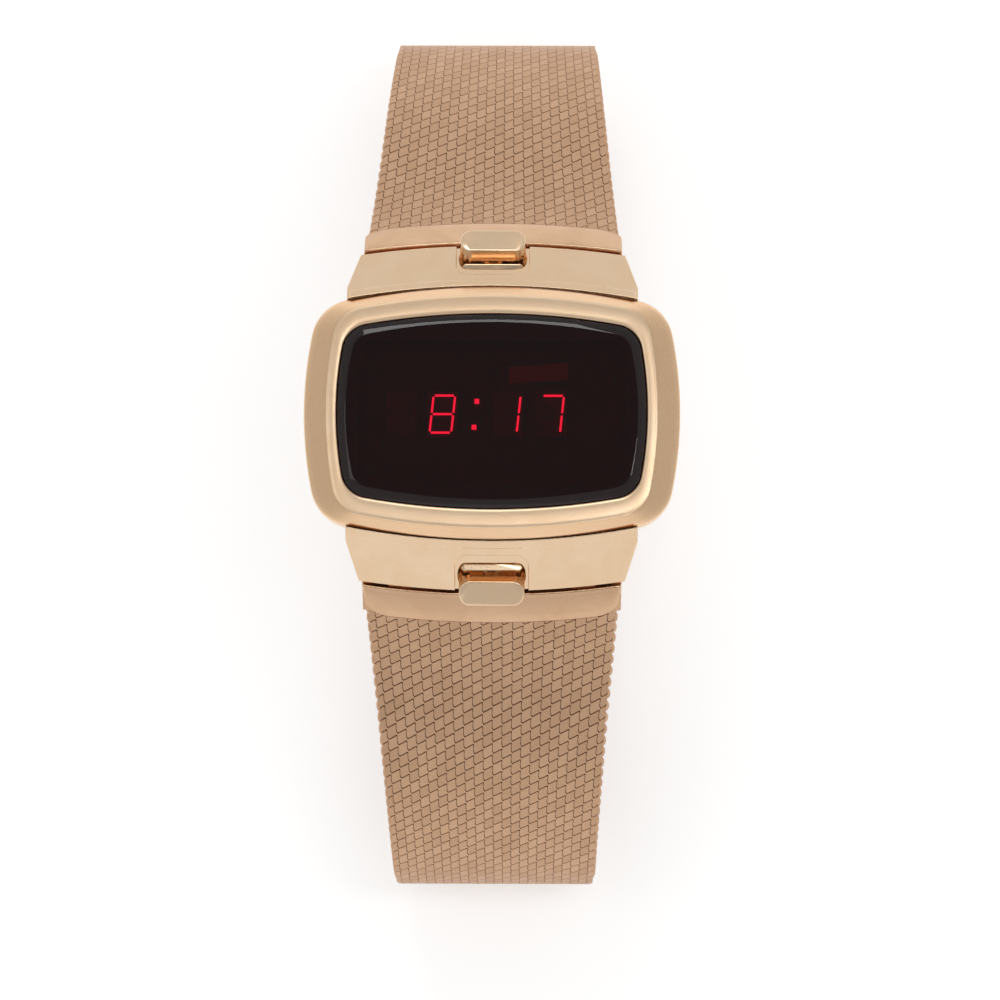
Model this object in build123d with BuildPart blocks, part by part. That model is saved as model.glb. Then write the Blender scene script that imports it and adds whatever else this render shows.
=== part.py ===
"""Wristwatch with a red LED display, standing face up on its closed mesh band.

+X points to 3 o'clock, +Y to 12 o'clock and +Z out of the display. The floor is z = 0, under the clasp.
Lengths are in millimetres, angles in degrees. "upper" is the 12 o'clock side, "lower" the 6 o'clock side.
"""

from build123d import *
from math import atan2, cos, degrees, radians, sin, sqrt, tan
import os

os.makedirs("parts", exist_ok=True)

# General fits
overrun = 2.0
touch = 0.0
slide_fit = 0.1
press_fit = 0.02
running_gap = 0.15

# Case seen from above: bowed rectangles with round corners
case_width = 38.2
case_length = 25.9
case_side_bow = 1.5
case_end_bow = 2.0
case_corner = 4.5
chamfer_side_width = 2.45
chamfer_end_width = 1.1
ring_side_bow = 1.2
ring_end_bow = 1.7
ring_corner = 3.4
ring_side_width = 1.0
ring_end_width = 1.95
crystal_side_bow = 1.0
crystal_end_bow = 1.5
crystal_corner = 2.8

# Crystal, gasket and bezel
crystal_thickness = 1.9
crystal_bevel_width = 0.8
crystal_bevel_height = 0.45
crystal_proud = 0.25
crystal_fit = 0.06
gasket_thickness = 0.4
window_ledge = 1.1
window_corner = 1.5
bezel_skirt = 1.6
chamfer_drop = 1.5
groove = 0.12
groove_step = 0.2

# Case middle and case back
middle_height = 5.2
middle_step = 0.15
middle_tuck = 1.0
tuck_height = 2.6
cavity_length = 18.5
cavity_side_wall = 4.6
cavity_corner = 2.5
back_thickness = 1.4
back_inset = 1.2
back_edge = 0.4
spigot_height = 0.8

# Battery hatches and batteries
battery_end_wall = 1.5
battery_gap = 2.8
battery_thickness = 2.7
battery_fit = 0.15
hatch_margin = 0.6
coin_slot_width = 1.2
coin_slot_length = 8.0
coin_slot_depth = 0.45

# Module: frame, substrate and what stands on them
module_fit = 0.08
substrate_thickness = 0.8
substrate_length = 17.0
substrate_side_gap = 0.3
contact_thickness = 0.15
contact_width = 2.2
timing_chip_width = 4.0
timing_chip_length = 2.4
timing_chip_height = 1.0
quartz_width = 1.9
quartz_length = 6.0
quartz_height = 1.5
part_pocket_fit = 0.15
side_bay_offset = 7.5
side_bay_reach = 5.5

# Display
digit_height = 3.8
digit_width = 2.2
digit_slant = 6.0
segment_width = 0.2
segment_height = 0.12
segment_break = 0.14
tile_width = 3.1
tile_length = 4.7
tile_height = 0.25
digit_rise = 0.05
digit_centres = {"hour_tens": -9.2, "hour_units": -5.05, "minute_tens": 1.6, "minute_units": 6.0}
colon_centre = -1.7
colon_spread = 2.65
colon_size = 0.46
sensor_width = 6.0
sensor_length = 1.7
sensor_height = 0.5
sensor_centre_x = 4.7
sensor_centre_y = 4.25
sensor_turn = 4.0

# Lug hoods, in the frame of the end link hinge
hood_slope = 37.0
hinge_offset = 3.59
hinge_depth = 2.1
crown_radius = 200.0
joint_radius = 102.0
hood_root_width = 29.6
hood_tip_width = 26.3
hood_depth = 2.3
hood_gap = 0.06
collar_width = 0.7
collar_rise = 0.18
collar_inset = 0.3

# End link
link_swing = 11.0
link_length = 3.3
link_gap = 0.08
link_width = 26.3
link_depth = 1.6
link_corner = 1.2
knuckle_radius = 1.25
knuckle_end = 7.85
ear_radius = 1.25
ear_end = 10.5
bar_radius = 0.6
bar_hole_radius = 0.64
bar_wall = 0.4

# Pushers
pusher_width = 6.7
pusher_height_span = 1.5
pusher_end_round = 0.7
pusher_rear_offset = 1.3
pusher_face_offset = 4.0
pusher_face_slope = 28.0
pusher_reach_offset = 6.35
pusher_corner = 1.1
pusher_travel = 0.8
mouth_offset = 2.66
bore_clearance = 0.1
shelf_margin = 0.4
shelf_depth = 0.3
shelf_corner = 1.3
shelf_offset = 1.45
stem_radius = 0.55
stem_reach = 0.45
spring_bore_radius = 1.0
spring_bore_offset = 1.35
spring_wire = 0.28
leaf_thickness = 0.15
leaf_width = 3.0
leaf_height = 3.9
leaf_rest_gap = 0.2

# Mesh band path, from the end link outward and down: slopes below level, then radii
link_slope = hood_slope + link_swing
shoulder_slope = 34.0
hip_slope = 60.0
root_run = 2.5
sway_radius = 40.0
shoulder_radius = 45.0
hip_radius = 17.0
turn_radius = 7.0

# Mesh
mesh_thickness = 2.4
mesh_lift = 0.1
mesh_root_width = 25.7
mesh_tip_width = 20.8
row_pitch = 1.41
row_groove = 0.22
row_groove_width = 0.3
mesh_socket = 1.0
socket_fit = 0.05
flex_stations = (18.0, 31.0, 40.5, 49.5)

# Clasp
clasp_wall = 0.9
clasp_side_wall = 1.2
pin_skin = 0.4
clasp_outer_end = -13.0
clasp_inner_end = 5.0
clasp_window_end = -1.2
clasp_edge = 0.4
lever_thickness = 0.9
lever_floor_gap = 0.1
lever_barrel_radius = 0.9
lever_pin_radius = 0.45
lever_nib = 1.6
arm_reach = 3.2
arm_height = 2.6
hook_bar_offset = 2.0
hook_bar_radius = 0.7
hook_gap = 0.3
hook_wall = 0.65
hook_width = 16.0
hook_lip = 0.8
hook_shank = 1.6
ferrule_length = 1.5
ferrule_edge = 0.35
tip_inset = 2.0


def span_end(start, length, bend):
    """Where a span of constant bend ends: outward distance, height and slope in radians."""
    out, up, slope = start
    if bend == 0:
        return out + length * cos(slope), up - length * sin(slope), slope
    turned = slope + bend * length
    return out + (sin(turned) - sin(slope)) / bend, up + (cos(turned) - cos(slope)) / bend, turned


def arc_span(slope_from, slope_to, radius):
    """Length and bend of an arc between two slopes."""
    turn = radians(slope_to - slope_from)
    length = abs(turn) * radius
    return length, turn / length


band_spans = (
    (root_run, 0),
    arc_span(link_slope, shoulder_slope, sway_radius),
    arc_span(shoulder_slope, hip_slope, shoulder_radius),
    arc_span(hip_slope, 90, hip_radius),
    arc_span(90, 180, turn_radius),
)

# Sizes seen from above that follow from the case
case_end = case_length / 2
ring_width = case_width - 2 * chamfer_side_width
ring_length = case_length - 2 * chamfer_end_width
crystal_width = ring_width - 2 * ring_side_width
crystal_length = ring_length - 2 * ring_end_width
cavity_width = case_width - 2 * cavity_side_wall
battery_diameter = cavity_width / 2 - battery_end_wall - battery_gap / 2
battery_spacing = battery_diameter + battery_gap
hatch_radius = battery_diameter / 2 + hatch_margin
substrate_width = cavity_width - 2 * substrate_side_gap
hinge_reach = case_end + hinge_offset
pusher_rear = case_end + pusher_rear_offset
pusher_face_start = case_end + pusher_face_offset
pusher_reach = case_end + pusher_reach_offset
stem_tip = cavity_length / 2 + stem_reach
spring_bore_start = cavity_length / 2 + spring_bore_offset

# Heights from the floor up: the flat mesh in the clasp, the band path, the hinge, then the case
mesh_floor = 2 * lever_barrel_radius + lever_floor_gap + running_gap / 2
flat_height = mesh_floor + mesh_thickness / 2
path_end = (0, 0, radians(link_slope))
path_length = 0
band_reach = 0
for span_length, span_bend in band_spans:
    path_end = span_end(path_end, span_length, span_bend)
    path_length += span_length
    band_reach = max(band_reach, path_end[0])
fall = radians(link_slope)
path_start_out = hinge_reach + mesh_lift * sin(fall) + link_length * cos(fall)
path_start_up = flat_height - path_end[1]
hinge_height = path_start_up - mesh_lift * cos(fall) + link_length * sin(fall)
turn_end_out = path_start_out + path_end[0]

hood_fall = radians(hood_slope)
hood_rise = hinge_offset * tan(hood_fall)
hood_root_height = hinge_height + hinge_depth / cos(hood_fall) + hood_rise
chamfer_foot = hood_root_height + groove_step
bezel_top = chamfer_foot + chamfer_drop
bezel_seat = chamfer_foot - bezel_skirt
crystal_top = bezel_top + crystal_proud
crystal_foot = crystal_top - crystal_thickness
gasket_seat = crystal_foot - gasket_thickness
back_seat = bezel_seat - middle_height
back_face = back_seat - back_thickness
spigot_top = back_seat + spigot_height
battery_foot = spigot_top + touch
battery_top = battery_foot + battery_thickness
substrate_foot = battery_top + contact_thickness
substrate_top = substrate_foot + substrate_thickness
mouth_top = hood_root_height - mouth_offset * tan(hood_fall)
pusher_centre = mouth_top - bore_clearance - pusher_height_span / 2


def band_point(distance, side=1, rise=0):
    """Point of the band at a distance along its path, raised towards its outer face."""
    here = (path_start_out, path_start_up, radians(link_slope))
    left = distance
    for length, bend in band_spans:
        step = max(0, min(left, length))
        here = span_end(here, step, bend)
        left -= step
    out, up, slope = span_end(here, left, 0)
    return side * (out + rise * sin(slope)), up + rise * cos(slope)


def slope_plane(side, slope, along=0):
    """Plane on the hinge axis, square to a slope that falls outward, its y out of the slope."""
    down = radians(slope)
    outward = Vector(0, side * cos(down), -sin(down))
    axis_point = Vector(0, side * hinge_reach, hinge_height)
    return Plane(origin=axis_point + outward * along, x_dir=(-side, 0, 0), z_dir=outward)


def face_plane(side, slope, along=0):
    """Plane through the hinge axis, along a slope that falls outward, its y outward."""
    across = slope_plane(side, slope, along)
    return Plane(origin=across.origin, x_dir=(side, 0, 0), z_dir=across.y_dir)


def pusher_plane(side, reach):
    """Upright plane across a pusher, its z outward."""
    return Plane(origin=(0, side * reach, pusher_centre), x_dir=(-side, 0, 0), z_dir=(0, side, 0))


def bowed_outline(width, length, side_bow, end_bow, corner, inset):
    """Rectangle with bowed sides and round corners, drawn in by an inset."""
    half_width = width / 2 - inset
    half_length = length / 2 - inset
    corner_x = half_width - side_bow
    corner_y = half_length - end_bow
    with BuildSketch() as outline:
        with BuildLine():
            ThreePointArc((-corner_x, corner_y), (0, half_length), (corner_x, corner_y))
            ThreePointArc((corner_x, corner_y), (half_width, 0), (corner_x, -corner_y))
            ThreePointArc((corner_x, -corner_y), (0, -half_length), (-corner_x, -corner_y))
            ThreePointArc((-corner_x, -corner_y), (-half_width, 0), (-corner_x, corner_y))
        make_face()
        fillet(outline.vertices(), corner - inset)
    return outline.sketch


def case_outline(inset=0):
    return bowed_outline(case_width, case_length, case_side_bow, case_end_bow, case_corner, inset)


def ring_outline():
    return bowed_outline(ring_width, ring_length, ring_side_bow, ring_end_bow, ring_corner, 0)


def crystal_outline(inset=0):
    return bowed_outline(
        crystal_width, crystal_length, crystal_side_bow, crystal_end_bow, crystal_corner, inset
    )


def window_outline():
    """Opening under the crystal, inside the ledge that carries it."""
    width = crystal_width - 2 * (crystal_side_bow + window_ledge)
    length = crystal_length - 2 * (crystal_end_bow + window_ledge)
    with BuildSketch() as outline:
        RectangleRounded(width, length, window_corner)
    return outline.sketch


def cavity_outline(grow=0):
    """Inside of the case middle, grown by an amount all round."""
    with BuildSketch() as outline:
        RectangleRounded(cavity_width + 2 * grow, cavity_length + 2 * grow, cavity_corner + grow)
    return outline.sketch


def circles(places, radius):
    """Equal circles at several places."""
    with BuildSketch() as outline:
        with Locations(*places):
            Circle(radius)
    return outline.sketch


def crowned_section(plane, width, foot, rise=0):
    """Section across a hood or link: straight sides and foot, gently crowned top."""
    half_width = width / 2
    top = hinge_depth + rise
    edge_height = top - crown_radius + sqrt(crown_radius**2 - half_width**2)
    with BuildSketch(plane) as section:
        with BuildLine():
            Line((-half_width, foot), (half_width, foot))
            Line((half_width, foot), (half_width, edge_height))
            ThreePointArc((half_width, edge_height), (0, top), (-half_width, edge_height))
            Line((-half_width, edge_height), (-half_width, foot))
        make_face()
    return section.sketch


def joint_sag(half_width):
    """How far the bowed joint line falls back at half a width."""
    return joint_radius - sqrt(joint_radius**2 - half_width**2)


def beyond_joint(plane):
    """Everything outward of the bowed line where a hood ends."""
    half_width = hood_root_width / 2
    sag = joint_sag(half_width)
    with BuildSketch(plane) as region:
        with BuildLine():
            ThreePointArc((-half_width, -sag), (0, 0), (half_width, -sag))
            Line((half_width, -sag), (half_width, overrun))
            Line((half_width, overrun), (-half_width, overrun))
            Line((-half_width, overrun), (-half_width, -sag))
        make_face()
    return region.sketch


def link_outline(side):
    """End link seen square to its slope: a bowed strip with its outer corners rounded."""
    half_width = link_width / 2
    sag = joint_sag(half_width)
    with BuildSketch(face_plane(side, link_slope)) as outline:
        with BuildLine():
            ThreePointArc((-half_width, link_gap - sag), (0, link_gap), (half_width, link_gap - sag))
            Line((half_width, link_gap - sag), (half_width, link_length - sag))
            ThreePointArc((half_width, link_length - sag), (0, link_length), (-half_width, link_length - sag))
            Line((-half_width, link_length - sag), (-half_width, link_gap - sag))
        make_face()
        outward = slope_plane(side, link_slope).z_dir
        fillet(outline.vertices().sort_by(Axis((0, 0, 0), outward))[-2:], link_corner)
    return outline.sketch


def shelf_outline(side):
    """Floor of the shallow recess round a pusher, open at the tip of its hood."""
    width = pusher_width + 2 * shelf_margin
    start = (shelf_offset - hinge_offset) / cos(hood_fall) - hinge_depth * tan(hood_fall)
    with BuildSketch(face_plane(side, hood_slope)) as outline:
        with Locations((0, start)):
            RectangleRounded(width, 2 * width, shelf_corner, align=(Align.CENTER, Align.MIN))
    lift = slope_plane(side, hood_slope).y_dir * (hinge_depth - shelf_depth)
    return outline.sketch.moved(Location(lift))


def pusher_plan(side):
    """Pusher seen from above, its outer corners rounded."""
    with BuildSketch() as outline:
        with Locations((0, side * (pusher_reach - pusher_width))):
            RectangleRounded(pusher_width, 2 * pusher_width, pusher_corner)
    return outline.sketch


def pusher_section(plane, clearance):
    """Long rounded section of a pusher, widened by a clearance all round."""
    with BuildSketch(plane) as section:
        RectangleRounded(
            pusher_width + 2 * clearance, pusher_height_span + 2 * clearance, pusher_end_round + clearance
        )
    return section.sketch


def at_height(outline, height):
    return outline.moved(Location((0, 0, height)))


def plate(outline, foot, top, mode=Mode.ADD):
    """Upright extrusion of an outline between two heights."""
    extrude(at_height(outline, foot), amount=top - foot, mode=mode)


def taper(outline, foot, upper_outline, top):
    """Straight-sided solid from one outline up to another."""
    loft([at_height(outline, foot).face(), at_height(upper_outline, top).face()], ruled=True)


def cross_bar(centre, radius, start, end, mode=Mode.ADD):
    """Round bar across the watch between two places along X."""
    with BuildSketch(Plane.YZ.offset(start)) as section:
        with Locations(centre):
            Circle(radius)
    extrude(section.sketch, amount=end - start, mode=mode)


def mirrored_cross_bars(centre, radius, start, end, mode=Mode.ADD):
    cross_bar(centre, radius, start, end, mode)
    cross_bar(centre, radius, -end, -start, mode)


def save(part, name):
    part.label = name
    export_step(part, "parts/" + name + ".step")


# Bezel: skirt, outer chamfer up to the ring, pocket for the crystal and window
with BuildPart() as bezel:
    plate(case_outline(), bezel_seat, chamfer_foot)
    taper(case_outline(), chamfer_foot, ring_outline(), bezel_top)
    plate(crystal_outline(-crystal_fit), gasket_seat, bezel_top + overrun, Mode.SUBTRACT)
    plate(window_outline(), bezel_seat, gasket_seat, Mode.SUBTRACT)
save(bezel.part, "bezel")

with BuildPart() as crystal:
    bevel_foot = crystal_top - crystal_bevel_height
    plate(crystal_outline(), crystal_foot, bevel_foot)
    taper(crystal_outline(), bevel_foot, crystal_outline(crystal_bevel_width), crystal_top)
save(crystal.part, "crystal")

with BuildPart() as crystal_gasket:
    plate(crystal_outline(), gasket_seat, crystal_foot)
    plate(window_outline(), gasket_seat, crystal_foot, Mode.SUBTRACT)
save(crystal_gasket.part, "crystal_gasket")


def hood_plan():
    """Outline of both hoods from above: two trapezoids that share their wide side."""
    tip_reach = hinge_reach + hinge_depth * sin(hood_fall)
    narrowing = (hood_root_width - hood_tip_width) / 2 / (tip_reach - case_end)
    far = tip_reach + overrun
    wide = hood_tip_width / 2 + narrowing * tip_reach
    narrow = hood_tip_width / 2 - narrowing * overrun
    corners = [(wide, 0), (narrow, far), (-narrow, far), (-wide, 0), (-narrow, -far), (narrow, -far)]
    with BuildSketch() as outline:
        with BuildLine():
            Polyline(*corners, close=True)
        make_face()
    return outline.sketch


knuckle_pocket_radius = knuckle_radius + running_gap
hinge_sides = {"upper": 1, "lower": -1}

# Low step that follows the case across the root of each hood
with BuildPart() as collar:
    for side in hinge_sides.values():
        plane = slope_plane(side, hood_slope, -hood_gap)
        collar_end = crowned_section(plane, hood_root_width - 2 * collar_inset, -hood_depth, collar_rise)
        extrude(collar_end, amount=-hinge_reach / 2)
    plate(case_outline(-groove - collar_width), back_face, crystal_top, Mode.INTERSECT)

with BuildPart() as drum:
    plate(case_outline(middle_step), back_seat, bezel_seat)
    chamfer(faces().sort_by(Axis.Z)[0].edges(), tuck_height, middle_tuck - middle_step)

with BuildPart() as case_middle:
    for side in hinge_sides.values():
        hood_end = crowned_section(slope_plane(side, hood_slope, -hood_gap), hood_root_width, -hood_depth)
        extrude(hood_end, amount=-hinge_reach / 2)
        joint = beyond_joint(face_plane(side, hood_slope, -hood_gap))
        extrude(joint, amount=hinge_depth + hood_depth, both=True, mode=Mode.SUBTRACT)
    plate(hood_plan(), back_face, crystal_top, Mode.INTERSECT)
    add(collar.part)
    add(drum.part)
    plate(case_outline(-groove), bezel_seat, crystal_top, Mode.SUBTRACT)
    plate(cavity_outline(), back_face, bezel_seat, Mode.SUBTRACT)
    for side in hinge_sides.values():
        axis_point = (side * hinge_reach, hinge_height)
        mirrored_cross_bars(axis_point, ear_radius, knuckle_end + running_gap, ear_end)
        pocket_end = knuckle_end + running_gap
        cross_bar(axis_point, knuckle_pocket_radius, -pocket_end, pocket_end, Mode.SUBTRACT)
        bar_end = ear_end - bar_wall
        cross_bar(axis_point, bar_hole_radius, -bar_end, bar_end, Mode.SUBTRACT)
        bore_start = pusher_rear - pusher_travel - slide_fit
        bore = pusher_section(pusher_plane(side, bore_start), bore_clearance)
        extrude(bore, amount=pusher_face_start + overrun - bore_start, mode=Mode.SUBTRACT)
        extrude(shelf_outline(side), amount=hinge_depth, mode=Mode.SUBTRACT)
        with BuildSketch(pusher_plane(side, spring_bore_start)):
            Circle(spring_bore_radius)
        extrude(amount=pusher_rear - spring_bore_start, mode=Mode.SUBTRACT)
        with BuildSketch(pusher_plane(side, cavity_length / 2 - overrun)):
            Circle(stem_radius + slide_fit / 2)
        extrude(amount=spring_bore_start - cavity_length / 2 + overrun, mode=Mode.SUBTRACT)
save(case_middle.part, "case_middle")

# Case back pressed into the middle by its spigot, and the battery hatches
hatch_places = [(side * battery_spacing / 2, 0) for side in (-1, 1)]

with BuildPart() as case_back:
    plate(case_outline(back_inset), back_face, back_seat)
    chamfer(faces().sort_by(Axis.Z)[0].edges(), back_edge)
    plate(cavity_outline(-press_fit), back_seat, spigot_top)
    plate(circles(hatch_places, hatch_radius + press_fit), back_face, spigot_top, Mode.SUBTRACT)
save(case_back.part, "case_back")

for name, centre in (("left", hatch_places[0]), ("right", hatch_places[1])):
    with BuildPart() as battery_hatch:
        with BuildSketch(Plane.XY.offset(back_face)):
            with Locations(centre):
                Circle(hatch_radius)
        extrude(amount=spigot_top - back_face)
        with BuildSketch(Plane.XY.offset(back_face)):
            with Locations(centre):
                Rectangle(coin_slot_width, coin_slot_length)
        extrude(amount=coin_slot_depth, mode=Mode.SUBTRACT)
    save(battery_hatch.part, "battery_hatch_" + name)

    with BuildPart() as battery:
        with BuildSketch(Plane.XY.offset(battery_foot)):
            with Locations(centre):
                Circle(battery_diameter / 2)
        extrude(amount=battery_thickness)
    save(battery.part, "battery_" + name)

# Module frame with battery wells, side bays and notches for the switch leaves
leaf_outer = stem_tip - pusher_travel - leaf_rest_gap
leaf_inner = leaf_outer - leaf_thickness
bay_top = substrate_foot
timing_place = (-side_bay_reach, side_bay_offset)

with BuildPart() as module_frame:
    plate(cavity_outline(-module_fit), spigot_top, bay_top)
    plate(circles(hatch_places, battery_diameter / 2 + battery_fit), spigot_top, bay_top, Mode.SUBTRACT)
    with BuildSketch(Plane.XY.offset(bay_top)):
        with Locations(timing_place):
            Rectangle(timing_chip_width + 2 * part_pocket_fit, timing_chip_length + 2 * part_pocket_fit)
        with Locations((side_bay_reach, -side_bay_offset)):
            Rectangle(quartz_length + 2 * part_pocket_fit, quartz_width + 2 * part_pocket_fit)
    extrude(amount=-quartz_height - part_pocket_fit, mode=Mode.SUBTRACT)
    with BuildSketch(Plane.XY.offset(spigot_top)):
        for side in hinge_sides.values():
            with Locations((0, side * (leaf_inner - running_gap + overrun / 2))):
                Rectangle(leaf_width + 2 * running_gap, overrun)
    extrude(amount=bay_top - spigot_top, mode=Mode.SUBTRACT)
    with BuildSketch(Plane.XY.offset(bay_top)):
        Rectangle(battery_spacing + 2 * part_pocket_fit, contact_width + 2 * part_pocket_fit)
    extrude(amount=-contact_thickness - press_fit, mode=Mode.SUBTRACT)
save(module_frame.part, "module_frame")

with BuildPart() as battery_contacts:
    with BuildSketch(Plane.XY.offset(battery_top)):
        Rectangle(battery_spacing, contact_width)
        with Locations((-battery_spacing / 2, 0), (battery_spacing / 2, 0)):
            Rectangle(contact_width, 2 * contact_width)
    extrude(amount=contact_thickness)
save(battery_contacts.part, "battery_contacts")

with BuildPart() as timing_chip:
    with BuildSketch(Plane.XY.offset(bay_top - timing_chip_height)):
        with Locations(timing_place):
            Rectangle(timing_chip_width, timing_chip_length)
    extrude(amount=timing_chip_height)
save(timing_chip.part, "timing_chip")

with BuildPart() as quartz_can:
    with BuildSketch(Plane.XY.offset(bay_top - quartz_height)):
        with Locations((side_bay_reach, -side_bay_offset)):
            Rectangle(quartz_length, quartz_width)
    extrude(amount=quartz_height)
save(quartz_can.part, "quartz_can")

with BuildPart() as circuit_substrate:
    with BuildSketch(Plane.XY.offset(substrate_foot)) as board:
        Rectangle(substrate_width, substrate_length)
        chamfer(board.vertices(), cavity_corner)
    extrude(amount=substrate_thickness)
save(circuit_substrate.part, "circuit_substrate")

# Display: one chip tile for each digit, seven segments on each, colon and sensor window
stroke = digit_width / 2
half_stroke_height = digit_height / 2
segment_shares = {
    "top": ((-1, 1), (1, 1)),
    "upper_left": ((-1, 1), (-1, 0)),
    "upper_right": ((1, 1), (1, 0)),
    "middle": ((-1, 0), (1, 0)),
    "lower_left": ((-1, 0), (-1, -1)),
    "lower_right": ((1, 0), (1, -1)),
    "bottom": ((-1, -1), (1, -1)),
}
lit_segments = {
    "hour_tens": (),
    "hour_units": tuple(segment_shares),
    "minute_tens": ("upper_right", "lower_right"),
    "minute_units": ("top", "upper_right", "lower_right"),
}
tile_top = substrate_top + tile_height


def segment_bar(digit, segment):
    """One segment as a thin bar, between two corners of its digit, leaning with the digit."""
    lean = tan(radians(digit_slant))
    corners = []
    for share_x, share_y in segment_shares[segment]:
        up = share_y * half_stroke_height
        corners.append(Vector(digit_centres[digit] + share_x * stroke + lean * up, up + digit_rise))
    along = (corners[1] - corners[0]).normalized()
    start = corners[0] + along * segment_break
    end = corners[1] - along * segment_break
    middle = (start + end) * 0.5
    angle = degrees(atan2(along.Y, along.X))
    with BuildSketch(Plane.XY.offset(tile_top)) as bar:
        with Locations((middle.X, middle.Y)):
            Rectangle((end - start).length, segment_width, rotation=angle)
    return bar.sketch


with BuildPart() as digit_tiles:
    with BuildSketch(Plane.XY.offset(substrate_top)):
        for centre in digit_centres.values():
            with Locations((centre, digit_rise)):
                Rectangle(tile_width, tile_length)
    extrude(amount=tile_height)
save(digit_tiles.part, "digit_tiles")

for digit, lit in lit_segments.items():
    if lit:
        with BuildPart() as lit_digit:
            for segment in lit:
                extrude(segment_bar(digit, segment), amount=segment_height)
        save(lit_digit.part, digit + "_lit")

with BuildPart() as unlit_segments:
    for digit, lit in lit_segments.items():
        for segment in segment_shares:
            if segment not in lit:
                extrude(segment_bar(digit, segment), amount=segment_height)
save(unlit_segments.part, "unlit_segments")

with BuildPart() as colon_dots:
    lean = tan(radians(digit_slant)) * colon_spread / 2
    with BuildSketch(Plane.XY.offset(substrate_top)):
        for side in (-1, 1):
            with Locations((colon_centre + side * lean, side * colon_spread / 2 + digit_rise)):
                Rectangle(colon_size, colon_size)
    extrude(amount=tile_height + segment_height)
save(colon_dots.part, "colon_dots")

with BuildPart() as light_sensor:
    with BuildSketch(Plane.XY.offset(substrate_top)):
        with Locations((sensor_centre_x, sensor_centre_y)):
            Rectangle(sensor_width, sensor_length, rotation=sensor_turn)
    extrude(amount=sensor_height)
save(light_sensor.part, "light_sensor")


def plan_taper():
    """Outline of one mesh half from above, from its wide root to its narrow tip."""
    near = hinge_reach
    far = path_start_out + band_reach + mesh_thickness
    half_root = mesh_root_width / 2
    half_tip = mesh_tip_width / 2
    with BuildSketch() as outline:
        with BuildLine():
            Polyline((half_root, near), (half_tip, far), (-half_tip, far), (-half_root, near), close=True)
        make_face()
    return outline.sketch


def mesh_outline(side, start, end):
    """Side outline of a stretch of mesh, grooved between rows where its outer face can be seen."""
    half = mesh_thickness / 2
    outer = [band_point(start, side, half)]
    row = int(start // row_pitch) + 1
    while row * row_pitch + row_groove_width < min(end, flex_stations[-1]):
        place = row * row_pitch
        if place - row_groove_width > start:
            outer.append(band_point(place - row_groove_width / 2, side, half))
            outer.append(band_point(place, side, half - row_groove))
            outer.append(band_point(place + row_groove_width / 2, side, half))
        row += 1
    outer.append(band_point(end, side, half))
    steps = max(1, round((end - start) / (2 * row_pitch)))
    inner = [band_point(end - (end - start) * k / steps, side, -half) for k in range(steps + 1)]
    return outer + inner


def mesh_half_length(side):
    """Path length of a half: the lower one runs through the clasp, the upper one stops at the hook."""
    flat_start = turn_end_out
    if side < 0:
        return path_length + flat_start + clasp_inner_end - tip_inset
    return path_length + flat_start - upper_mesh_end


hook_bar_out = clasp_inner_end + hook_bar_offset
hook_outer_radius = hook_bar_radius + press_fit + hook_wall
hook_centre = hook_bar_out + hook_bar_radius + hook_gap + hook_outer_radius
upper_ferrule_start = hook_centre + hook_shank
upper_mesh_end = upper_ferrule_start + ferrule_length

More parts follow.
